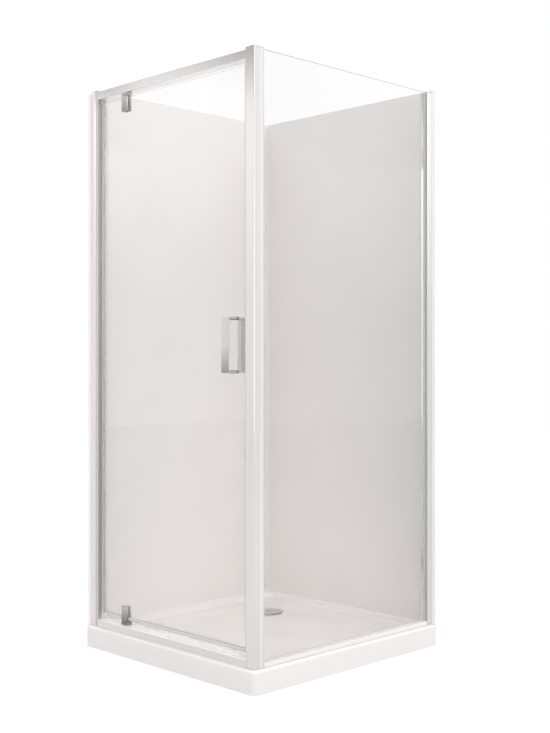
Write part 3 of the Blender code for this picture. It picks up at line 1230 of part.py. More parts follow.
def build_door():
    carrier = new_carrier("door_pivot_axis", PIVOT)
    build_door_glass(carrier)
    build_door_seals(carrier)
    build_hinges(carrier)
    build_handles(carrier)


build_enclosure()
build_door()
build_waste_insert(new_carrier("waste_lift_axis", Vector((WASTE_X, WASTE_Y, 0))))
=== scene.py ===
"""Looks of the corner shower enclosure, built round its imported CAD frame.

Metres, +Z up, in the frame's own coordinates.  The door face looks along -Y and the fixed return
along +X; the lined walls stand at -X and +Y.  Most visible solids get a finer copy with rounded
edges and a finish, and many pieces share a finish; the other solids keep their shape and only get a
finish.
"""

import json
import math

import bmesh
import bpy
from mathutils import Matrix, Vector

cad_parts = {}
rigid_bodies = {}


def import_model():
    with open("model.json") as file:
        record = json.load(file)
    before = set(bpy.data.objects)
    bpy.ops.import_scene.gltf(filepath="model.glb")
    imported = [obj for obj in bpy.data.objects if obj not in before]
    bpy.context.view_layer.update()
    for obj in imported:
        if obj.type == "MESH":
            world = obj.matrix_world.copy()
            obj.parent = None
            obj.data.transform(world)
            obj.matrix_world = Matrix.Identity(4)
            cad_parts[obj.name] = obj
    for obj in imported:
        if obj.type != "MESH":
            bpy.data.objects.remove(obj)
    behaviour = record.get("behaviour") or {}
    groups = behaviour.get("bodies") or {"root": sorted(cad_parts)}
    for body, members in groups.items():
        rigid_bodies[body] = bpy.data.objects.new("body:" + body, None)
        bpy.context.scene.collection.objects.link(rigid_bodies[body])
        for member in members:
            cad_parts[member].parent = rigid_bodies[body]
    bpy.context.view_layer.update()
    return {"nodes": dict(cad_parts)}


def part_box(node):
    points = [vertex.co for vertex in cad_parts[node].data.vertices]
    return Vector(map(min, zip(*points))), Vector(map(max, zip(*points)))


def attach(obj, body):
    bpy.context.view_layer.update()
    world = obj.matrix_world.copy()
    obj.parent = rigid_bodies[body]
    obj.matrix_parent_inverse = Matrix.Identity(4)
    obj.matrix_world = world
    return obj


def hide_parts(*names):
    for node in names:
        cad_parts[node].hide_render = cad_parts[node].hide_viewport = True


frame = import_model()

# Camera at the photograph's viewing angle
CAMERA_PLACE = (3.0357, -2.8161, 1.0315)
CAMERA_TURN = (math.radians(90), 0.0, math.radians(44.51))
CAMERA_LENS = 55.74
CAMERA_SENSOR = 36.0
CAMERA_SHIFT = (-0.0534, -0.0055)

# Studio light: a sky that grows upwards, soft glows low on the sides, a dark flag and two thin veils
# high on the left, and a stronger light for what is seen through glass
LAMP_TINT = (1.0, 0.992, 0.986)
SKY_LEVEL = 0.79
SKY_FROM_RIGHT = -0.04
SKY_FROM_ABOVE = 0.36
GLOW_DEPTH = 0.12
GLOW_FOOT = math.sin(math.radians(4.0))
GLOW_FULL = math.sin(math.radians(12.0))
FLAG_DEPTH = 0.74
FLAG_FOOT = math.sin(math.radians(12.9))
FLAG_FULL = math.sin(math.radians(15.9))
FLAG_TOP = math.sin(math.radians(24.0))
FLAG_END = math.sin(math.radians(32.0))
FLAG_EDGE = 0.45
FLAG_MIDDLE = 0.80
FLAG_AZIMUTH = math.radians(132.3)
FLAG_TILT = 0.22
VEIL_STEPS = ((0.20, (0.045, 0.065)), (0.46, (0.095, 0.115)))
VEIL_FOOT = (math.sin(math.radians(12.55)), math.sin(math.radians(12.95)))
LEFT_GLOW_DEPTH = 0.27
LEFT_GLOW_EDGES = (0.03, 0.12)
FRONT_GLOW = 0.42
FRONT_GLOW_TOWARDS = (0.60, -0.80, 0.0)
FRONT_GLOW_EDGES = (0.35, 0.85)
RIGHT_GLOW_DEPTH = 0.30
RIGHT_GLOW_SPAN = (math.sin(math.radians(3.0)), math.sin(math.radians(9.0)))
RIGHT_GLOW_EDGES = (0.66, 0.77)
RIGHT_GLOW_SIDE = (0.2, 0.4)
CABIN_BOOST = 0.56
CABIN_BOOST_FROM_ABOVE = 0.70
CABIN_BOOST_FROM_RIGHT = 1.80
OVERHEAD_GLOW = 1.5
OVERHEAD_EDGE = math.cos(math.radians(28.0))
OVERHEAD_FULL = math.cos(math.radians(20.0))
KEY_PLACE = (3.8, 1.2, 3.9)
KEY_AIM = (-0.4, 0.0, 1.7)
KEY_SIDE = 1.8
KEY_POWER = 42.0
FLOOR_HALF_WIDTH = 12.0
FLOOR_DROP = 0.0005
FLOOR_ALBEDO = 0.28
FLOOR_GLOW = 0.75
FLOOR_GLOW_IN_REFLECTIONS = 0.40
FLOOR_GLOW_IN_BOUNCES = 0.53

# Geometry
WELD = 0.00001
GAP = 0.0003
FLAT_ANGLE = math.radians(0.6)
EDGE_ANGLE = math.radians(40)
SMOOTH_ANGLE = math.radians(35)

# Radii of rounded edges
PROFILE_EDGE = 0.00035
SEAL_EDGE = 0.0003
WALL_SEAL_EDGE = 0.0004
WASTE_BODY_EDGE = 0.0004
STRAINER_EDGE = 0.0003
HINGE_EDGE = 0.0005
HANDLE_EDGE = 0.0006
PANE_EDGE = 0.0007
LINER_EDGE = 0.0012

# Where finishes change on a piece, from its front or its foot; these bound painted highlights, painted
# light and painted shade
STRIP_FROM_FRONT = 0.018
STRIP_WIDTH = 0.0165
STRIP_FADE = (0.003, 0.010)
RECESS_FROM_FRONT = 0.015
SEAL_BEHIND_PANE = 0.0038
HANDLE_SHADE_HEIGHT = 0.088
INNER_HANDLE_FADE = 0.001

# Sealant, a painted shade line, collars and screws
LINER_WALL = 0.004
BEAD = 0.0035
BEAD_CORNER = 0.008
BEAD_STEPS = 6
SHADE_LINE_DEPTH = 0.0005
SHADE_LINE_HEIGHT = 0.0011
SHADE_LINE_CORNER = 0.003
ARM_HEIGHT = 0.007
COLLAR_WALL = 0.0016
COLLAR_THICKNESS = 0.0012
COLLAR_GAP = 0.0001
SCREW_STEPS = 36
SHANK_SHARE = 0.42
SOCKET_SHARE = 0.46
SOCKET_TAPER = 0.94
JAMB_SCREW_HEAD = 0.0024
CLAMP_SCREW_HEAD = 0.0022
BRACKET_SCREW_HEAD = 0.0018

# Waste cover; its fall, shoulder and roll are shares of the crown's height
COVER_LIFT = 0.004
COVER_SHEET = 0.0012
COVER_LIP = 0.004
COVER_FALL = 0.38
COVER_SHOULDER = (0.9, 0.31)
COVER_ROLL = 0.42
COVER_STEPS = 96
STEM_RADIUS = 0.006

# Tray, as the CAD solid is drawn, with more steps
FRONT_CORNER_RADIUS = 0.020
WALL_CORNER_RADIUS = 0.004
FRONT_EDGE_RADIUS = 0.010
WALL_EDGE_RADIUS = 0.0012
FRONT_RIM = 0.066
WALL_RIM = 0.014
BASIN_CORNER_RADIUS = 0.060
BASIN_LIP_RADIUS = 0.006
BASIN_FOOT_RADIUS = 0.016
BASIN_DEPTH = 0.019
FLOOR_FALL = 0.0105
BASIN_WALL_ANGLE = math.radians(60)
LEAST_CORNER_RADIUS = 0.002
TRAY_SHELL = 0.004
DISH_RADIUS = 0.064
DISH_DEPTH = 0.005
DISH_EDGE_RADIUS = 0.0015
WASTE_HOLE_RADIUS = 0.0445
TRAY_CORNER_STEPS = 13
TRAY_SIDE_STEPS = 6
TRAY_ARC_STEPS = 8
FLOOR_SHARES = (0.15, 0.35, 0.55, 0.70, 0.84, 0.93, 0.98)


# Node helpers

def new_finish(name):
    material = bpy.data.materials.new(name)
    material.use_nodes = True
    tree = material.node_tree
    return material, tree, tree.nodes["Principled BSDF"]


def grain(tree, lengths, detail=3.0):
    """Noise in the piece's own coordinates, with the grain's length in metres along X, Y and Z."""
    place = tree.nodes.new("ShaderNodeTexCoord")
    mapping = tree.nodes.new("ShaderNodeMapping")
    mapping.inputs["Scale"].default_value = [1.0 / length for length in lengths]
    noise = tree.nodes.new("ShaderNodeTexNoise")
    noise.inputs["Scale"].default_value = 1.0
    noise.inputs["Detail"].default_value = detail
    tree.links.new(place.outputs["Object"], mapping.inputs["Vector"])
    tree.links.new(mapping.outputs["Vector"], noise.inputs["Vector"])
    return noise.outputs["Fac"]


def along(axis, length, width):
    """Grain lengths that run along one axis."""
    return [length if name == axis else width for name in "XYZ"]


def share_along(tree, axis, low, high):
    """0 at the low level and 1 at the high level of one of the piece's own axes."""
    place = tree.nodes.new("ShaderNodeTexCoord")
    split = tree.nodes.new("ShaderNodeSeparateXYZ")
    tree.links.new(place.outputs["Object"], split.inputs["Vector"])
    return spread(tree, split.outputs[axis], 0.0, 1.0, (low, high))


def spread(tree, source, low, high, span=(0.3, 0.7)):
    """Map the used part of a noise onto a range of values."""
    node = tree.nodes.new("ShaderNodeMapRange")
    node.inputs["From Min"].default_value = span[0]
    node.inputs["From Max"].default_value = span[1]
    node.inputs["To Min"].default_value = low
    node.inputs["To Max"].default_value = high
    tree.links.new(source, node.inputs["Value"])
    return node.outputs["Result"]


def colour_between(tree, source, dark, light, span=(0.3, 0.7)):
    node = tree.nodes.new("ShaderNodeValToRGB")
    first, last = node.color_ramp.elements
    first.position, last.position = span
    first.color = (*dark, 1.0)
    last.color = (*light, 1.0)
    tree.links.new(source, node.inputs["Fac"])
    return node.outputs["Color"]


def shades(colour, amount):
    """A colour made a little darker and a little lighter."""
    return [part * (1 - amount) for part in colour], [min(part * (1 + amount), 1.0) for part in colour]


def relief(tree, shader, layers):
    """Stack bumps given as (height, depth in metres) on the surface."""
    normal = None
    for height, depth in layers:
        bump = tree.nodes.new("ShaderNodeBump")
        bump.inputs["Distance"].default_value = depth
        tree.links.new(height, bump.inputs["Height"])
        if normal is not None:
            tree.links.new(normal, bump.inputs["Normal"])
        normal = bump.outputs["Normal"]
    tree.links.new(normal, shader.inputs["Normal"])


def set_shader(shader, **values):
    for name, value in values.items():
        shader.inputs[name.replace("_", " ")].default_value = value


# Finishes

def acrylic(name, colour, roughness=0.20):
    """Moulded acrylic: slow waviness, fine orange peel and cloudy gloss."""
    material, tree, shader = new_finish(name)
    cloud = grain(tree, (0.16, 0.16, 0.22), 4.0)
    peel = grain(tree, (0.0035, 0.0035, 0.0035), 1.0)
    wave = grain(tree, (0.12, 0.12, 0.12), 1.0)
    tree.links.new(colour_between(tree, cloud, *shades(colour, 0.012)), shader.inputs["Base Color"])
    tree.links.new(spread(tree, cloud, roughness - 0.04, roughness + 0.05), shader.inputs["Roughness"])
    relief(tree, shader, ((wave, 0.00025), (peel, 0.000006)))
    set_shader(shader, Coat_Weight=0.25, Coat_Roughness=0.08)
    return material


def aluminium(name, axis, colour, roughness=0.09, metal=0.80, rise=None):
    """Anodised extrusion: faint die lines along its length and a satin sheen.

    A rise gives an axis, two levels of it and the colour that the first level starts from; the tone
    that grows between them is painted light.
    """
    material, tree, shader = new_finish(name)
    lines = grain(tree, along(axis, 0.9, 0.0009), 2.0)
    silk = grain(tree, along(axis, 0.010, 0.00022), 2.0)
    cloud = grain(tree, along(axis, 0.5, 0.03), 2.0)
    if rise:
        share = share_along(tree, *rise[:3])
        tone = colour_between(tree, share, rise[3], colour, (0.0, 1.0))
    else:
        tone = colour_between(tree, cloud, *shades(colour, 0.02))
    tree.links.new(tone, shader.inputs["Base Color"])
    tree.links.new(spread(tree, silk, roughness - 0.035, roughness + 0.045), shader.inputs["Roughness"])
    relief(tree, shader, ((lines, 0.000006), (silk, 0.0000008)))
    set_shader(shader, Metallic=metal)
    return material


def chrome(name, axis, low, high, dark, light, roughness=0.11):
    """Polished hardware whose tone changes between two levels of an axis, a painted reflection and
    shade, with hairline scratches.
    """
    material, tree, shader = new_finish(name)
    scratch = grain(tree, (0.012, 0.0004, 0.0004), 3.0)
    cloud = grain(tree, (0.02, 0.02, 0.02), 2.0)
    share = share_along(tree, axis, low, high)
    tree.links.new(colour_between(tree, share, dark, light, (0.0, 1.0)), shader.inputs["Base Color"])
    tree.links.new(spread(tree, cloud, roughness - 0.03, roughness + 0.05), shader.inputs["Roughness"])
    relief(tree, shader, ((scratch, 0.0000015),))
    set_shader(shader, Metallic=1.0)
    return material


def glass(name, colour):
    """Toughened pane: roller wave too slight to bend lines, and a trace of haze."""
    material, tree, shader = new_finish(name)
    haze = grain(tree, (0.25, 0.25, 0.40), 4.0)
    wave = grain(tree, (0.35, 0.35, 0.30), 1.0)
    tree.links.new(colour_between(tree, haze, *shades(colour, 0.004)), shader.inputs["Base Color"])
    tree.links.new(spread(tree, haze, 0.0, 0.012), shader.inputs["Roughness"])
    relief(tree, shader, ((wave, 0.00004),))
    set_shader(shader, Transmission_Weight=1.0, IOR=1.45)
    return material


def glass_edge(name, colour):
    """Ground and polished edge, greener and duller than the faces."""
    material, tree, shader = new_finish(name)
    grind = grain(tree, (0.0006, 0.0006, 0.0006), 2.0)
    tree.links.new(colour_between(tree, grind, *shades(colour, 0.05)), shader.inputs["Base Color"])
    tree.links.new(spread(tree, grind, 0.20, 0.34), shader.inputs["Roughness"])
    relief(tree, shader, ((grind, 0.000004),))
    set_shader(shader, Transmission_Weight=0.85, IOR=1.45)
    return material


def rubber(name, axis, colour, clear=0.0, roughness=0.42):
    """Extruded seal: drawn lines along it, soft gloss, more or less see-through."""
    material, tree, shader = new_finish(name)
    drawn = grain(tree, along(axis, 0.15, 0.0005), 2.0)
    dust = grain(tree, (0.004, 0.004, 0.004), 3.0)
    tree.links.new(colour_between(tree, dust, *shades(colour, 0.06)), shader.inputs["Base Color"])
    tree.links.new(spread(tree, dust, roughness - 0.06, roughness + 0.08), shader.inputs["Roughness"])
    relief(tree, shader, ((drawn, 0.00002),))
    set_shader(shader, Transmission_Weight=clear, IOR=1.42)
    return material


def moulded(name, colour, roughness=0.45):
    """Moulded nylon or bedding with a fine sparked grain."""
    material, tree, shader = new_finish(name)
    spark = grain(tree, (0.0007, 0.0007, 0.0007), 3.0)
    cloud = grain(tree, (0.02, 0.02, 0.02), 3.0)
    tree.links.new(colour_between(tree, cloud, *shades(colour, 0.03)), shader.inputs["Base Color"])
    tree.links.new(spread(tree, spark, roughness - 0.05, roughness + 0.08), shader.inputs["Roughness"])
    relief(tree, shader, ((spark, 0.00002),))
    return material


def steel(name, colour, roughness=0.26):
    """Turned fastener: short tool marks and a slightly uneven polish."""
    material, tree, shader = new_finish(name)
    marks = grain(tree, (0.0003, 0.0003, 0.0003), 2.0)
    cloud = grain(tree, (0.004, 0.004, 0.004), 2.0)
    tree.links.new(colour_between(tree, cloud, *shades(colour, 0.06)), shader.inputs["Base Color"])
    tree.links.new(spread(tree, marks, roughness - 0.05, roughness + 0.07), shader.inputs["Roughness"])
    relief(tree, shader, ((marks, 0.000004),))
    set_shader(shader, Metallic=1.0)
    return material


def brushed_round(name, colour, centre, roughness=0.30):
    """Grey cover brushed in circles about its middle."""
    material, tree, shader = new_finish(name)
    place = tree.nodes.new("ShaderNodeTexCoord")
    mapping = tree.nodes.new("ShaderNodeMapping")
    mapping.inputs["Location"].default_value = (-centre[0], -centre[1], 0.0)
    rings = tree.nodes.new("ShaderNodeTexWave")
    rings.wave_type = "RINGS"
    rings.rings_direction = "Z"
    rings.inputs["Scale"].default_value = 260.0
    rings.inputs["Distortion"].default_value = 1.5
    rings.inputs["Detail"].default_value = 2.0
    tree.links.new(place.outputs["Object"], mapping.inputs["Vector"])
    tree.links.new(mapping.outputs["Vector"], rings.inputs["Vector"])
    cloud = grain(tree, (0.015, 0.015, 0.015), 3.0)
    tree.links.new(colour_between(tree, cloud, *shades(colour, 0.04)), shader.inputs["Base Color"])
    tree.links.new(spread(tree, cloud, roughness - 0.05, roughness + 0.07), shader.inputs["Roughness"])
    relief(tree, shader, ((rings.outputs["Fac"], 0.000004),))
    set_shader(shader, Metallic=0.35)
    return material


WASTE_LOW, WASTE_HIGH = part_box("waste_cover")
WASTE_CENTRE = (WASTE_LOW + WASTE_HIGH) / 2
BLOCKS = {place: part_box(place + "_pivot_block") for place in ("bottom", "top")}
HANDLE_LOW, HANDLE_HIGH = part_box("handle_outer")
HANDLE_MIDDLE_X = (HANDLE_LOW.x + HANDLE_HIGH.x) / 2
STRIP_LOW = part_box("corner_post")[0].y + STRIP_FROM_FRONT
STRIP_HIGH = STRIP_LOW + STRIP_WIDTH

SILVER = (0.900, 0.870, 0.862)
# Painted light: the return's wall channel is painted lighter towards its top.
CHANNEL_PAINTED_LIGHT_RISE = ("Z", 1.1, 1.75, (0.79, 0.80, 0.80))
# Painted highlight: a strip on the post's side is painted lighter across its width.
STRIP_HIGHLIGHT_RISE = ("Y", STRIP_LOW + STRIP_FADE[0], STRIP_LOW + STRIP_FADE[1], (0.89, 0.865, 0.855))

ACRYLIC = acrylic("moulded_white_acrylic", (0.825, 0.792, 0.785))
SILVERS = {axis: aluminium("satin_aluminium_along_" + axis.lower(), axis, SILVER) for axis in "XYZ"}
RAIL_SILVER = aluminium("satin_head_rail", "X", (0.874, 0.847, 0.840))
# Painted reflection and shade: the pivot hardware is darker low and lighter high.
PIVOT_CHROMES = {place: chrome(place + "_pivot_chrome", "Z", low.z, high.z, (0.28, 0.275, 0.27),
                               (0.66, 0.65, 0.645)) for place, (low, high) in BLOCKS.items()}
# Painted reflection and shade: the outer handle is darker at its foot, lighter above.
HANDLE_CHROME = chrome("handle_chrome", "Z", HANDLE_LOW.z, HANDLE_LOW.z + HANDLE_SHADE_HEIGHT,
                       (0.41, 0.40, 0.395), (0.80, 0.785, 0.78))
# Painted light on the handles' narrow side; painted shade on their arms.
HANDLE_SIDE_PAINTED_LIGHT = aluminium("brushed_handle_side", "Z", (0.95, 0.94, 0.935), 0.20, 0.30)
HANDLE_ARM_PAINTED_SHADE = aluminium("brushed_handle_arm", "Y", (0.58, 0.57, 0.565), 0.20, 0.30)
# Painted shade: the inner handle turns darker past its middle.
INNER_CHROME = chrome("inner_handle_chrome", "X", HANDLE_MIDDLE_X - INNER_HANDLE_FADE,
                      HANDLE_MIDDLE_X + INNER_HANDLE_FADE, (0.48, 0.475, 0.47), (0.37, 0.365, 0.36))
CLEAR_GLASS = glass("clear_toughened_glass", (0.948, 0.954, 0.950))
GLASS_EDGE = glass_edge("ground_glass_edge", (0.70, 0.76, 0.73))
# Painted light on the liner's narrow strips beyond the wall channels.
LINER_STRIP_PAINTED_LIGHT = acrylic("trimmed_liner_edge", (0.985, 0.97, 0.965))
JAMB = aluminium("satin_jamb", "Z", (0.70, 0.68, 0.67), 0.30, 0.35)
# Painted shade on the jamb's side faces, painted lighter again deeper in the recess.
JAMB_SIDE_PAINTED_SHADE = aluminium("shaded_jamb_side", "Z", (0.46, 0.455, 0.45), 0.35)
JAMB_RECESS_PAINTED_LIGHT = aluminium("pale_jamb_recess", "Z", (0.78, 0.765, 0.76), 0.35, 0.30)
# Return wall channel with painted light, lighter towards its top.
SILVER_PAINTED_LIGHTER_UPWARDS = aluminium("cool_satin_aluminium", "Z", (0.96, 0.97, 0.97), rise=CHANNEL_PAINTED_LIGHT_RISE)
# Painted highlight on the post's side strip.
POST_STRIP_PAINTED_HIGHLIGHT = aluminium("pressed_bead_strip", "Z", (0.995, 0.985, 0.975), rise=STRIP_HIGHLIGHT_RISE)
# Painted light on the outer side of the return's bottom channel.
CHANNEL_SIDE_PAINTED_LIGHT = aluminium("bright_foot_channel", "Y", (0.95, 0.93, 0.925), 0.22, 0.35)
# Painted light on the sill's top faces.
SILL_TOP_PAINTED_LIGHT = aluminium("washed_sill_top", "X", (0.97, 0.955, 0.95), 0.40, 0.35)
# Painted light: the head rail's underside is a brighter copy of its aluminium.
RAIL_UNDERSIDE_PAINTED_LIGHT = aluminium("bright_rail_underside", "X", (0.965, 0.985, 0.995), 0.07, 1.0)
DARK_SEAL = rubber("grey_wall_seal", "Z", (0.42, 0.415, 0.41))
PALE_SEAL = rubber("grey_door_seal", "Z", (0.52, 0.51, 0.50))
# Painted shade: the drip seals' top, underside and ends are darker than their pale faces.
DRIP_SEAL_PAINTED_SHADE = rubber("grey_drip_seal", "X", (0.50, 0.495, 0.49))
DRIP_BODY = rubber("pale_drip_seal", "X", (0.80, 0.785, 0.78), 0.20)
# Painted light: the wall gasket beside the pane is a pale copy of the grey seal.
GASKET_SIDE_PAINTED_LIGHT = rubber("white_glazing_seal", "Y", (0.90, 0.885, 0.88))
FOOT_SEAL = rubber("pale_foot_seal", "Y", (0.88, 0.865, 0.86))
CLEAR_SEAL = rubber("clear_seal", "Z", (0.82, 0.81, 0.80), 0.55, 0.30)
ARM_SEAL = rubber("clear_seal_arms", "Z", (0.96, 0.955, 0.95), 0.85, 0.12)
BLACK_RUBBER = rubber("dark_collar_rubber", "Z", (0.20, 0.20, 0.20))
SILICONE = rubber("white_silicone", "X", (0.84, 0.81, 0.80), 0.0, 0.35)
# Painted shade: a grey line standing in for the shade in the joint at the rim.
FOOT_LINE_PAINTED_SHADE = rubber("grey_foot_seam", "Y", (0.30, 0.295, 0.29))
NYLON = moulded("white_nylon_grain", (0.78, 0.76, 0.74))
FOAM = moulded("foamed_bedding", (0.90, 0.89, 0.87), 0.85)
STEEL = steel("turned_steel", (0.62, 0.61, 0.60))
WASTE_GREY = brushed_round("grey_waste_cover", (0.50, 0.495, 0.49), WASTE_CENTRE)

PIECES = bpy.data.collections.new("looks")
bpy.context.scene.collection.children.link(PIECES)


# Geometry helpers

def body_of(node):
    """The body that a CAD node rides on."""
    return frame["nodes"][node].parent.name.removeprefix("body:")


def publish(name, shape, finishes, node=None, body=None):
    """Turn a bmesh into a smooth piece that rides on a body, in place of a CAD node if one is given."""
    bmesh.ops.recalc_face_normals(shape, faces=shape.faces)
    mesh = bpy.data.meshes.new(name)
    shape.to_mesh(mesh)
    shape.free()
    mesh.shade_smooth()
    mesh.set_sharp_from_angle(angle=SMOOTH_ANGLE)
    for finish in finishes:
        mesh.materials.append(finish)
    piece = bpy.data.objects.new(name, mesh)
    PIECES.objects.link(piece)
    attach(piece, body or body_of(node))
    if node:
        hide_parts(node)
    return piece


def round_edges(piece, width, segments=3, material=-1):
    bevel = piece.modifiers.new("rounded_edges", "BEVEL")
    bevel.width = width
    bevel.segments = segments
    bevel.limit_method = "ANGLE"
    bevel.angle_limit = EDGE_ANGLE
    bevel.harden_normals = True
    bevel.material = material
    weighted = piece.modifiers.new("flat_faces", "WEIGHTED_NORMAL")
    weighted.keep_sharp = True
    weighted.weight = 100


def solid_of(node):
    """The CAD solid's surface with split corners welded and flat faces merged."""
    shape = bmesh.new()
    shape.from_mesh(frame["nodes"][node].data)
    bmesh.ops.remove_doubles(shape, verts=shape.verts, dist=WELD)
    bmesh.ops.dissolve_limit(shape, angle_limit=FLAT_ANGLE, verts=shape.verts, edges=shape.edges)
    return shape


def refined(node, finish, width, segments=3, extras=(), cuts=()):
    """A finer copy of a CAD solid; faces that pass an extra's test get that extra's finish."""
    shape = solid_of(node)
    for point, direction in cuts:
        bmesh.ops.bisect_plane(shape, geom=shape.verts[:] + shape.edges[:] + shape.faces[:],
                               plane_co=point, plane_no=direction)
    for number, (_, passes) in enumerate(extras, 1):
        for face in shape.faces:
            if passes(face):
                face.material_index = number
    finishes = (finish, *(other for other, _ in extras))
    round_edges(publish(node + "_fine", shape, finishes, node), width, segments)


def middle(face):
    return face.calc_center_median()


def glazed(node, across):
    """A pane with its narrow sides in the edge finish and its arrises ground off."""
    shape = solid_of(node)
    for face in shape.faces:
        face.material_index = 0 if abs(face.normal[across]) > 0.9 else 1
    piece = publish(node + "_fine", shape, (CLEAR_GLASS, GLASS_EDGE), node)
    round_edges(piece, PANE_EDGE, 2, material=1)


def keep(finish, *nodes):
    """Leave CAD nodes as they are, in a better finish."""
    for node in nodes:
        for holder in frame["nodes"][node].material_slots:
            holder.material = finish


def loft(rings, closed=False):
    """Skin rings of equal count; the ends are capped unless the last ring joins the first."""
    shape = bmesh.new()
    rows = [[shape.verts.new(point) for point in ring] for ring in rings]
    following = rows[1:] + rows[:1] if closed else rows[1:]
    for row, other in zip(rows, following):
        for index in range(len(row)):
            ahead = (index + 1) % len(row)
            shape.faces.new((row[index], row[ahead], other[ahead], other[index]))
    if not closed:
        shape.faces.new(rows[0])
        shape.faces.new(rows[-1])
    return shape


def circle(radius, height, steps, centre=(0.0, 0.0)):
    return [Vector((centre[0] + radius * math.cos(math.tau * step / steps),
                    centre[1] + radius * math.sin(math.tau * step / steps), height))
            for step in range(steps)]


def rounded(corners, steps):
    """A path of (x, y) or (x, y, radius) corners, each radius drawn as an arc."""
    points = []
    for index, corner in enumerate(corners):
        here = Vector(corner[:2])
        radius = corner[2] if len(corner) > 2 else 0.0
        if radius == 0.0:
            points.append(here)
            continue
        before = Vector(corners[index - 1][:2]) - here
        after = Vector(corners[(index + 1) % len(corners)][:2]) - here
        half = before.angle(after) / 2
        reach = min(radius / math.tan(half), 0.48 * min(before.length, after.length))
        radius = reach * math.tan(half)
        before.normalize()
        after.normalize()
        centre = here + (before + after).normalized() * (radius / math.sin(half))
        first = here + before * reach - centre
        turn = first.angle_signed(here + after * reach - centre)
        for step in range(steps + 1):
            arm = first.copy()
            arm.rotate(Matrix.Rotation(-turn * step / steps, 2))
            points.append(centre + arm)
    return points


# Tray

TRAY_LOW, TRAY_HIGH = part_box("shower_tray")
RIM = TRAY_HIGH.z
BASIN_FLOOR = RIM - BASIN_DEPTH
DISH_LEVEL = BASIN_FLOOR - FLOOR_FALL
SEAT_LEVEL = DISH_LEVEL - DISH_DEPTH
EDGE_RADII = (FRONT_EDGE_RADIUS, FRONT_EDGE_RADIUS, WALL_EDGE_RADIUS, WALL_EDGE_RADIUS)
CORNER_RADII = (FRONT_CORNER_RADIUS, WALL_CORNER_RADIUS, WALL_CORNER_RADIUS, WALL_CORNER_RADIUS)
BEAD_AND_SHADE_LINE_FOOT = RIM + WELD * 2


def tray_ring(insets, radii, heights):
    """A ring round the tray from its front right corner, with insets and heights for each side."""
    front, right, back, left = insets
    corners = ((TRAY_HIGH.x - right, TRAY_LOW.y + front, 1, -1),
               (TRAY_HIGH.x - right, TRAY_HIGH.y - back, 1, 1),
               (TRAY_LOW.x + left, TRAY_HIGH.y - back, -1, 1),
               (TRAY_LOW.x + left, TRAY_LOW.y + front, -1, -1))
    arcs = []
    for number, (x, y, side_x, side_y) in enumerate(corners):
        radius = max(radii[number], LEAST_CORNER_RADIUS)
        start, end = heights[number], heights[(number + 1) % len(heights)]
        arc = []
        for step in range(TRAY_CORNER_STEPS + 1):
            share = step / TRAY_CORNER_STEPS
            angle = math.radians(90) * (number - 1 + share)
            arc.append(Vector((x + radius * (math.cos(angle) - side_x),
                               y + radius * (math.sin(angle) - side_y),
                               start + (end - start) * share)))
        arcs.append(arc)
    ring = []
    for number, arc in enumerate(arcs):
        following = arcs[(number + 1) % len(arcs)]
        ring += arc
        for step in range(1, TRAY_SIDE_STEPS + 1):
            ring.append(arc[-1].lerp(following[0], step / (TRAY_SIDE_STEPS + 1)))
    return ring


def waste_ring(radius, height):
    count = 4 * (TRAY_CORNER_STEPS + 1 + TRAY_SIDE_STEPS)
    first = math.radians(-45) - TRAY_CORNER_STEPS / 2 * math.tau / count
    return [Vector((WASTE_CENTRE.x + radius * math.cos(first + index * math.tau / count),
                    WASTE_CENTRE.y + radius * math.sin(first + index * math.tau / count), height))
            for index in range(count)]


def corners_less(inset):
    return [radius - inset for radius in CORNER_RADII]


def skirt_rings():
    rings = [tray_ring((0, 0, 0, 0), CORNER_RADII, (0, 0, 0, 0))]
    for step in range(TRAY_ARC_STEPS + 1):
        angle = math.radians(90) * step / TRAY_ARC_STEPS
        insets = [radius * (1 - math.cos(angle)) for radius in EDGE_RADII]
        heights = [RIM - radius * (1 - math.sin(angle)) for radius in EDGE_RADII]
        rings.append(tray_ring(insets, corners_less(max(insets)), heights))
    return rings


def basin_rings():
    turn = BASIN_WALL_ANGLE
    rounded_drop = (BASIN_LIP_RADIUS + BASIN_FOOT_RADIUS) * (1 - math.cos(turn))
    straight = (BASIN_DEPTH - rounded_drop) / math.tan(turn)
    foot = (BASIN_LIP_RADIUS + BASIN_FOOT_RADIUS) * math.sin(turn) + straight
    profile = []
    for step in range(TRAY_ARC_STEPS + 1):
        angle = turn * step / TRAY_ARC_STEPS
        profile.append((BASIN_LIP_RADIUS * math.sin(angle),
                        RIM - BASIN_LIP_RADIUS * (1 - math.cos(angle))))
    for step in range(TRAY_ARC_STEPS + 1):
        angle = turn * (1 - step / TRAY_ARC_STEPS)
        profile.append((foot - BASIN_FOOT_RADIUS * math.sin(angle),
                        BASIN_FLOOR + BASIN_FOOT_RADIUS * (1 - math.cos(angle))))
    rings = []
    for inset, height in profile:
        insets = (FRONT_RIM + inset, FRONT_RIM + inset, WALL_RIM + inset, WALL_RIM + inset)
        rings.append(tray_ring(insets, [BASIN_CORNER_RADIUS - inset] * 4, [height] * 4))
    return rings


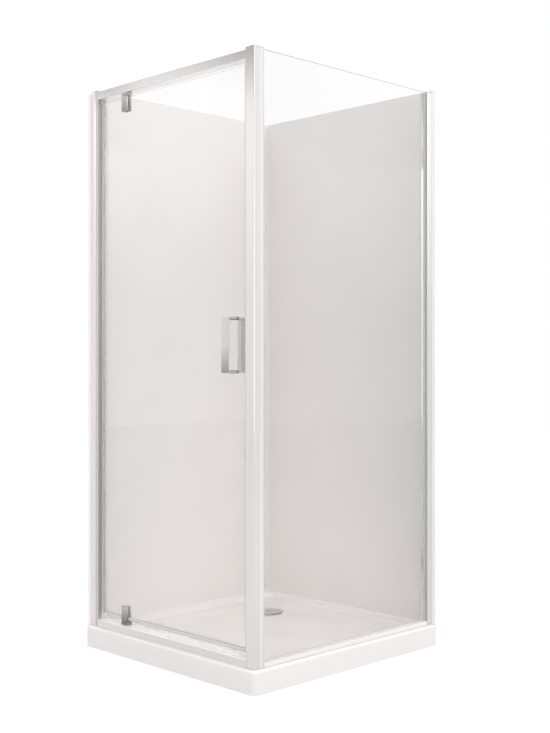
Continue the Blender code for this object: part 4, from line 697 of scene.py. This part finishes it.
def build_tray():
    """Shell with its rounded rim and basin; the underside hides the bedding."""
    wall = basin_rings()
    dish = waste_ring(DISH_RADIUS, DISH_LEVEL)
    floor = [[point.lerp(partner, share) for point, partner in zip(wall[-1], dish)]
             for share in FLOOR_SHARES]
    drop = DISH_EDGE_RADIUS * math.tan(math.radians(22.5))
    recess = rounded([(DISH_RADIUS + 2 * drop, DISH_LEVEL), (DISH_RADIUS, DISH_LEVEL, DISH_EDGE_RADIUS),
                      (DISH_RADIUS - DISH_DEPTH, SEAT_LEVEL, DISH_EDGE_RADIUS),
                      (WASTE_HOLE_RADIUS, SEAT_LEVEL)], 4)[1:]
    rings = skirt_rings() + wall + floor
    rings += [waste_ring(radius, height) for radius, height in recess]
    rings += [waste_ring(WASTE_HOLE_RADIUS, SEAT_LEVEL - TRAY_SHELL),
              waste_ring(DISH_RADIUS, SEAT_LEVEL - TRAY_SHELL)]
    inner = [TRAY_SHELL] * 4
    under = SEAT_LEVEL - TRAY_SHELL
    rings.append(tray_ring([TRAY_SHELL + FRONT_RIM] * 4, [BASIN_CORNER_RADIUS] * 4, [under] * 4))
    rings.append(tray_ring(inner, corners_less(TRAY_SHELL), [under] * 4))
    rings.append(tray_ring(inner, corners_less(TRAY_SHELL), [0.0] * 4))
    publish("shower_tray_fine", loft(rings, closed=True), (ACRYLIC,), "shower_tray")


# Waste

def build_waste():
    """Crowned cover with a rolled edge, the flange and cup, and the strainer."""
    bottom, top = WASTE_LOW.z, WASTE_HIGH.z
    radius = (WASTE_HIGH.x - WASTE_LOW.x) / 2
    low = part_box("waste_body")[1].z + COVER_LIFT
    crown = top - low
    hollow = low + COVER_SHEET
    profile = [(0.0, top)]
    profile += [(radius * share, top - crown * COVER_FALL * share ** 2)
                for share in (0.2, 0.4, 0.6, 0.8)]
    profile += rounded([(radius * COVER_SHOULDER[0], top - crown * COVER_SHOULDER[1]),
                        (radius, top - crown * COVER_ROLL, 0.0012), (radius, low, 0.0006),
                        (radius - COVER_LIP, low), (radius - COVER_LIP, hollow),
                        (STEM_RADIUS, hollow, 0.0015), (STEM_RADIUS, bottom, 0.0006),
                        (0.0, bottom)], 4)
    centre = (WASTE_CENTRE.x, WASTE_CENTRE.y)
    shape = loft([circle(max(place[0], WELD), place[1], COVER_STEPS, centre) for place in profile])
    publish("waste_cover_fine", shape, (WASTE_GREY,), "waste_cover")
    refined("waste_body", NYLON, WASTE_BODY_EDGE)
    refined("strainer_basket", NYLON, STRAINER_EDGE)


# Walls, frame and glass

def build_walls():
    """The liner, with painted light on the two narrow strips that stand beyond the wall channels."""
    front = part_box("wall_channel_door")[0].y
    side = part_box("wall_channel_return")[1].x
    refined("wall_liner", ACRYLIC, LINER_EDGE, 4,
            ((LINER_STRIP_PAINTED_LIGHT, lambda face: middle(face).y < front or middle(face).x > side),),
            (((0.0, front, 0.0), (0.0, 1.0, 0.0)), ((side, 0.0, 0.0), (1.0, 0.0, 0.0))))


def extruded(node, finish, *extras):
    """An aluminium profile or cap with its edges just broken."""
    refined(node, finish, PROFILE_EDGE, 2, extras)


def build_frame():
    for node in ("wall_channel_door", "strike_profile"):
        extruded(node, SILVERS["Z"])
    # The return's wall channel carries painted light, lighter towards its top.
    extruded("wall_channel_return", SILVER_PAINTED_LIGHTER_UPWARDS)
    # The strip on the post's side carries a painted highlight.
    extruded("corner_post", SILVERS["Z"],
             (POST_STRIP_PAINTED_HIGHLIGHT, lambda face: face.normal.x > 0.9 and STRIP_LOW < middle(face).y < STRIP_HIGH))
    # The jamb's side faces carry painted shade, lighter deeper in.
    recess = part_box("jamb_profile")[0].y + RECESS_FROM_FRONT
    extruded("jamb_profile", JAMB, (JAMB_SIDE_PAINTED_SHADE, lambda face: face.normal.x > 0.5),
             (JAMB_RECESS_PAINTED_LIGHT, lambda face: face.normal.x > 0.5 and middle(face).y > recess))
    # The head rail's underside carries painted light.
    extruded("head_rail", RAIL_SILVER, (RAIL_UNDERSIDE_PAINTED_LIGHT, lambda face: face.normal.z < -0.9))
    # The sill's top faces carry painted light.
    extruded("sill_rail", SILVERS["X"], (SILL_TOP_PAINTED_LIGHT, lambda face: face.normal.z > 0.3))
    for node in ("corner_post_cap", "jamb_cap", "wall_channel_return_cap"):
        extruded(node, SILVERS["X"])
    # The channel's outer side carries painted light.
    extruded("return_bottom_channel", SILVERS["Y"], (CHANNEL_SIDE_PAINTED_LIGHT, lambda face: face.normal.x > 0.5))
    build_foot_shade_line()


def build_foot_shade_line():
    """Thin grey line of painted shade in the joint where the post and the return's channel stand on the
    rim.
    """
    low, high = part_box("corner_post")
    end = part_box("return_bottom_channel")[1].y
    section = ((0.0, 0.0), (SHADE_LINE_DEPTH, 0.0), (SHADE_LINE_DEPTH, SHADE_LINE_HEIGHT * 0.6),
               (SHADE_LINE_DEPTH * 0.5, SHADE_LINE_HEIGHT), (0.0, SHADE_LINE_HEIGHT))
    paths = []
    for reach, rise in section:
        front, side = low.y - reach - WELD, high.x + reach + WELD
        path = rounded([(low.x, front), (side, front, SHADE_LINE_CORNER + reach), (side, end)], 6)
        paths.append([Vector((x, y, BEAD_AND_SHADE_LINE_FOOT + rise)) for x, y in path])
    publish("foot_seam", loft([list(row) for row in zip(*paths)]), (FOOT_LINE_PAINTED_SHADE,),
            body="enclosure")


def build_glass():
    glazed("return_glass", 0)
    glazed("door_glass", 1)


def build_seals():
    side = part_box("return_glass")[1].x + SEAL_BEHIND_PANE
    # The gasket beside the pane carries painted light.
    refined("return_wall_gasket", DARK_SEAL, WALL_SEAL_EDGE, 2,
            ((GASKET_SIDE_PAINTED_LIGHT, lambda face: middle(face).x < side),), (((side, 0.0, 0.0), (1.0, 0.0, 0.0)),))
    low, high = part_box("door_glass")
    inside = (low.y + high.y) / 2
    refined("door_pivot_seal", PALE_SEAL, SEAL_EDGE, 2,
            ((ARM_SEAL, lambda face: middle(face).y > inside or middle(face).x > low.x),))
    refined("door_closing_seal", CLEAR_SEAL, SEAL_EDGE, 2)
    for node in ("drip_seal_short", "drip_seal_long"):
        # The drip seals' narrow faces carry painted shade.
        refined(node, DRIP_SEAL_PAINTED_SHADE, SEAL_EDGE, 2,
                ((DRIP_BODY, lambda face: abs(face.normal.y) > 0.5),))
    keep(CLEAR_SEAL, "return_post_gasket")
    keep(FOOT_SEAL, "return_bottom_gasket")


# Hardware

def build_hinges():
    for place, finish in PIVOT_CHROMES.items():
        for part in ("_pivot_block", "_clamp_plate", "_pivot_bracket"):
            refined(place + part, finish, HINGE_EDGE)
        for part in ("_clamp_pad_outer", "_clamp_pad_inner"):
            keep(CLEAR_SEAL, place + part)
        keep(NYLON, place + "_pivot_bush")
        keep(STEEL, place + "_pivot_pin")


def build_handles():
    """Bars whose narrow side is painted light between the two arms in painted shade."""
    foot, head = HANDLE_LOW.z + ARM_HEIGHT, HANDLE_HIGH.z - ARM_HEIGHT
    cuts = [((0.0, 0.0, height), (0.0, 0.0, 1.0)) for height in (foot, head)]
    for node, finish in (("handle_outer", HANDLE_CHROME), ("handle_inner", INNER_CHROME)):
        refined(node, finish, HANDLE_EDGE, 4,
                ((HANDLE_ARM_PAINTED_SHADE, lambda face: face.normal.x > 0.5),
                 (HANDLE_SIDE_PAINTED_LIGHT, lambda face: face.normal.x > 0.5 and foot < middle(face).z < head)),
                cuts)
    keep(STEEL, "handle_stud_lower", "handle_stud_upper")
    build_collars()


def build_collars():
    """Dark rubber collars round the handles' arms, flat on the glass."""
    section = ((COLLAR_WALL, COLLAR_GAP), (COLLAR_WALL, COLLAR_THICKNESS * 0.7),
               (COLLAR_WALL * 0.6, COLLAR_THICKNESS), (COLLAR_GAP, COLLAR_THICKNESS),
               (COLLAR_GAP, COLLAR_GAP))
    for side, outward in (("outer", -1), ("inner", 1)):
        low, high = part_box("handle_" + side)
        glass_side = high.y + GAP if side == "outer" else low.y - GAP
        for end, level in (("lower", low.z + ARM_HEIGHT / 2), ("upper", high.z - ARM_HEIGHT / 2)):
            centre = Vector(((low.x + high.x) / 2, level))
            half = Vector(((high.x - low.x) / 2, ARM_HEIGHT / 2))
            rings = []
            for grow, depth in section:
                reach = half + Vector((grow, grow))
                corners = [(centre.x + x * reach.x, centre.y + z * reach.y, grow)
                           for x, z in ((-1, -1), (1, -1), (1, 1), (-1, 1))]
                rings.append([Vector((x, glass_side + outward * depth, z))
                              for x, z in rounded(corners, 4)])
            publish("handle_collar_" + side + "_" + end, loft(rings, closed=True), (BLACK_RUBBER,),
                    body="door")


# Fasteners

def hexagon(radius, height):
    """A ring of a screw's count drawn along a hexagon."""
    points = []
    for step in range(SCREW_STEPS):
        angle = math.tau * step / SCREW_STEPS
        local = (angle % math.radians(60)) - math.radians(30)
        reach = radius * math.cos(math.radians(30)) / math.cos(local)
        points.append(Vector((reach * math.cos(angle), reach * math.sin(angle), height)))
    return points


def screw(node, head_height, name, outward):
    """Button head with a hexagon socket, on the CAD screw's own axis of that name."""
    axis = "XYZ".index(name)
    low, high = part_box(node)
    centre = (low + high) / 2
    sides = [(high - low)[index] for index in range(3) if index != axis]
    head, length = sides[0] / 2, high[axis] - low[axis]
    shank, socket = head * SHANK_SHARE, head * SOCKET_SHARE
    profile = [(WELD, head_height - length), (shank * 0.7, head_height - length),
               (shank, head_height - length + shank * 0.3), (shank, 0.0), (head * 0.97, 0.0)]
    profile += [(head * (0.62 + 0.38 * math.cos(math.radians(angle))),
                 head_height * (0.25 + 0.75 * math.sin(math.radians(angle))))
                for angle in (0, 18, 36, 54, 72, 90)]
    rings = [circle(radius, height, SCREW_STEPS) for radius, height in profile]
    rings += [hexagon(socket, head_height), hexagon(socket * SOCKET_TAPER, head_height * SOCKET_TAPER),
              hexagon(socket * SOCKET_TAPER, head_height * 0.45),
              circle(WELD, head_height * 0.35, SCREW_STEPS)]
    seat = (high if outward > 0 else low)[axis] - outward * head_height
    place = Vector([seat if index == axis else centre[index] for index in range(3)])
    direction = Vector([outward if index == axis else 0.0 for index in range(3)])
    turn = Matrix.Translation(place) @ direction.to_track_quat("Z", "X").to_matrix().to_4x4()
    rings = [[turn @ point for point in ring] for ring in rings]
    publish(node + "_fine", loft(rings), (STEEL,), node)


def build_screws():
    for number in ("1", "2", "3"):
        screw("jamb_screw_" + number, JAMB_SCREW_HEAD, "Y", 1)
    for number in ("1", "2"):
        screw("bottom_clamp_screw_" + number, CLAMP_SCREW_HEAD, "Y", 1)
        screw("top_clamp_screw_" + number, CLAMP_SCREW_HEAD, "Y", 1)
        screw("bottom_pivot_bracket_screw_" + number, BRACKET_SCREW_HEAD, "Z", 1)
        screw("top_pivot_bracket_screw_" + number, BRACKET_SCREW_HEAD, "Z", -1)


# Silicone

def build_bead():
    """Tooled bead where the liner stands on the tray's rim, inside the cabin."""
    low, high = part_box("wall_liner")
    face_x, face_y = low.x + LINER_WALL + WELD * 5, high.y - LINER_WALL - WELD * 5
    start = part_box("wall_channel_door")[1].y + GAP
    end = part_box("wall_channel_return")[0].x - GAP
    section = [(0.0, 0.0), (BEAD, 0.0)]
    for step in range(1, BEAD_STEPS + 1):
        angle = math.radians(90) * step / BEAD_STEPS
        section.append((BEAD * (1 - math.sin(angle)), BEAD * (1 - math.cos(angle))))
    paths = []
    for inset, rise in section:
        path = rounded([(face_x + inset, start), (face_x + inset, face_y - inset, BEAD_CORNER - inset),
                        (end, face_y - inset)], 8)
        paths.append([Vector((x, y, BEAD_AND_SHADE_LINE_FOOT + rise)) for x, y in path])
    publish("rim_silicone", loft([list(row) for row in zip(*paths)]), (SILICONE,),
            body="enclosure")


# Studio

def new_math(tree, operation, first, second):
    node = tree.nodes.new("ShaderNodeMath")
    node.operation = operation
    for holder, value in zip(node.inputs, (first, second)):
        if isinstance(value, (int, float)):
            holder.default_value = value
        else:
            tree.links.new(value, holder)
    return node.outputs["Value"]


def total(tree, first, *others):
    for other in others:
        first = new_math(tree, "ADD", first, other)
    return first


def product(tree, first, *others):
    for other in others:
        first = new_math(tree, "MULTIPLY", first, other)
    return first


def facing(tree, direction, towards):
    """How far a direction points one way, from -1 to 1."""
    node = tree.nodes.new("ShaderNodeVectorMath")
    node.operation = "DOT_PRODUCT"
    node.inputs[1].default_value = Vector(towards).normalized()
    tree.links.new(direction, node.inputs[0])
    return node.outputs["Value"]


def seen_straight(tree, path):
    """1 for rays that reach the camera without bouncing, also through glass; 0 for the others."""
    bounced = total(tree, path["Diffuse Depth"], path["Glossy Depth"])
    return new_math(tree, "LESS_THAN", bounced, 0.5)


def sweep_level(tree, up, right, across, wide, back):
    """Brightness that grows upwards, with soft glows low on the left and at the back on the right."""
    level = total(tree, product(tree, right, SKY_FROM_RIGHT), product(tree, up, SKY_FROM_ABOVE),
                  SKY_LEVEL)
    left_glow = spread(tree, across, 0.0, LEFT_GLOW_DEPTH, LEFT_GLOW_EDGES)
    glow = product(tree, spread(tree, up, 0.0, 1.0, (GLOW_FOOT, GLOW_FULL)),
                   total(tree, GLOW_DEPTH, left_glow), wide)
    right_glow = product(tree, spread(tree, up, 0.0, RIGHT_GLOW_DEPTH, RIGHT_GLOW_SPAN),
                         spread(tree, back, 0.0, 1.0, RIGHT_GLOW_EDGES),
                         spread(tree, right, 0.0, 1.0, RIGHT_GLOW_SIDE))
    return total(tree, level, glow, right_glow)


def flagged(tree, level, up, across, wide):
    """The level behind a tilted dark flag and two thin veils."""
    tilted = new_math(tree, "SUBTRACT", up, product(tree, across, FLAG_TILT))
    upper_end = spread(tree, up, 1.0, 0.0, (FLAG_TOP, FLAG_END))
    flag = product(tree, spread(tree, tilted, 0.0, 1.0, (FLAG_FOOT, FLAG_FULL)), upper_end, wide,
                   FLAG_DEPTH)
    steps = [spread(tree, across, 0.0, depth, edges) for depth, edges in VEIL_STEPS]
    veil = product(tree, total(tree, *steps), spread(tree, up, 0.0, 1.0, VEIL_FOOT), upper_end, wide)
    for shade in (flag, veil):
        level = product(tree, level, new_math(tree, "SUBTRACT", 1.0, shade))
    return level


def cabin_boost(tree, up, right, path):
    """How much more light comes through glass, more so from above, and from the right onto walls."""
    off_wall = new_math(tree, "MINIMUM", path["Diffuse Depth"], 1.0)
    boost = total(tree, product(tree, up, CABIN_BOOST_FROM_ABOVE), CABIN_BOOST,
                  product(tree, right, product(tree, off_wall, CABIN_BOOST_FROM_RIGHT)))
    return total(tree, product(tree, boost, path["Is Transmission Ray"]), 1.0)


def light_studio():
    """Soft white studio, which is plain white itself where it is seen straight or through glass."""
    world = bpy.data.worlds.new("studio")
    bpy.context.scene.world = world
    world.use_nodes = True
    tree = world.node_tree
    tree.nodes.clear()
    path = tree.nodes.new("ShaderNodeLightPath").outputs
    direction = tree.nodes.new("ShaderNodeTexCoord").outputs["Generated"]
    right, back, up = (facing(tree, direction, axis) for axis in Matrix.Identity(3))
    across = facing(tree, direction, (math.cos(FLAG_AZIMUTH), math.sin(FLAG_AZIMUTH), 0.0))
    wide = spread(tree, facing(tree, direction, (-1.0, -1.0, 0.0)), 0.0, 1.0, (FLAG_EDGE, FLAG_MIDDLE))
    level = flagged(tree, sweep_level(tree, up, right, across, wide, back), up, across, wide)
    overhead = spread(tree, up, 0.0, OVERHEAD_GLOW, (OVERHEAD_EDGE, OVERHEAD_FULL))
    front = spread(tree, facing(tree, direction, FRONT_GLOW_TOWARDS), 0.0, FRONT_GLOW, FRONT_GLOW_EDGES)
    unglazed = new_math(tree, "SUBTRACT", 1.0, path["Is Transmission Ray"])
    level = total(tree, level, overhead, product(tree, front, unglazed))
    sky = tree.nodes.new("ShaderNodeBackground")
    plain = tree.nodes.new("ShaderNodeBackground")
    sky.inputs["Color"].default_value = (*LAMP_TINT, 1.0)
    plain.inputs["Color"].default_value = (1.0, 1.0, 1.0, 1.0)
    tree.links.new(product(tree, level, cabin_boost(tree, up, right, path)), sky.inputs["Strength"])
    mix = tree.nodes.new("ShaderNodeMixShader")
    output = tree.nodes.new("ShaderNodeOutputWorld")
    tree.links.new(seen_straight(tree, path), mix.inputs["Fac"])
    tree.links.new(sky.outputs["Background"], mix.inputs[1])
    tree.links.new(plain.outputs["Background"], mix.inputs[2])
    tree.links.new(mix.outputs["Shader"], output.inputs["Surface"])


def hang_key():
    """Large soft lamp high on the right, so that surfaces grow brighter towards their tops."""
    data = bpy.data.lights.new("key", "AREA")
    data.shape = "SQUARE"
    data.size = KEY_SIDE
    data.energy = KEY_POWER
    data.color = LAMP_TINT
    lamp = bpy.data.objects.new("key", data)
    lamp.location = KEY_PLACE
    lamp.rotation_euler = (Vector(KEY_AIM) - Vector(KEY_PLACE)).to_track_quat("-Z", "Y").to_euler()
    lamp.visible_camera = False
    lamp.visible_glossy = False
    lamp.visible_transmission = False
    bpy.context.scene.collection.objects.link(lamp)


def lay_floor():
    """Plain pale floor that nearly loses its shadows, as a lit studio sweep does."""
    shape = bmesh.new()
    bmesh.ops.create_grid(shape, x_segments=1, y_segments=1, size=FLOOR_HALF_WIDTH,
                          matrix=Matrix.Translation((0.0, 0.0, -FLOOR_DROP)))
    mesh = bpy.data.meshes.new("studio_floor")
    shape.to_mesh(mesh)
    shape.free()
    material, tree, shader = new_finish("studio_floor")
    set_shader(shader, Base_Color=(FLOOR_ALBEDO,) * 3 + (1.0,), Roughness=0.9,
               Emission_Color=(1.0, 1.0, 1.0, 1.0), Specular_IOR_Level=0.0)
    path = tree.nodes.new("ShaderNodeLightPath").outputs
    seen = product(tree, seen_straight(tree, path),
                   total(tree, path["Is Camera Ray"], path["Is Transmission Ray"]))
    indirect = spread(tree, path["Is Glossy Ray"], FLOOR_GLOW_IN_BOUNCES, FLOOR_GLOW_IN_REFLECTIONS,
                      (0.0, 1.0))
    glow = total(tree, product(tree, seen, FLOOR_GLOW - FLOOR_GLOW_IN_BOUNCES), indirect)
    tree.links.new(glow, shader.inputs["Emission Strength"])
    mesh.materials.append(material)
    floor = bpy.data.objects.new("studio_floor", mesh)
    bpy.context.scene.collection.objects.link(floor)


def place_camera():
    data = bpy.data.cameras.new("camera")
    data.sensor_width = CAMERA_SENSOR
    data.lens = CAMERA_LENS
    data.shift_x, data.shift_y = CAMERA_SHIFT
    camera = bpy.data.objects.new("camera", data)
    camera.location = CAMERA_PLACE
    camera.rotation_euler = CAMERA_TURN
    bpy.context.scene.collection.objects.link(camera)
    bpy.context.scene.camera = camera


def set_view():
    scene = bpy.context.scene
    scene.view_settings.view_transform = "Standard"
    scene.view_settings.look = "None"
    scene.cycles.use_denoising = True
    scene.cycles.max_bounces = 20
    scene.cycles.diffuse_bounces = 6
    scene.cycles.glossy_bounces = 8
    scene.cycles.transmission_bounces = 16


def finish_hidden():
    keep(FOAM, "tray_foam_base")
    keep(NYLON, "waste_nut")
    keep(DARK_SEAL, "waste_gasket")


build_tray()
build_waste()
build_walls()
build_frame()
build_glass()
build_seals()
build_hinges()
build_handles()
build_screws()
build_bead()
finish_hidden()
light_studio()
hang_key()
lay_floor()
place_camera()
set_view()
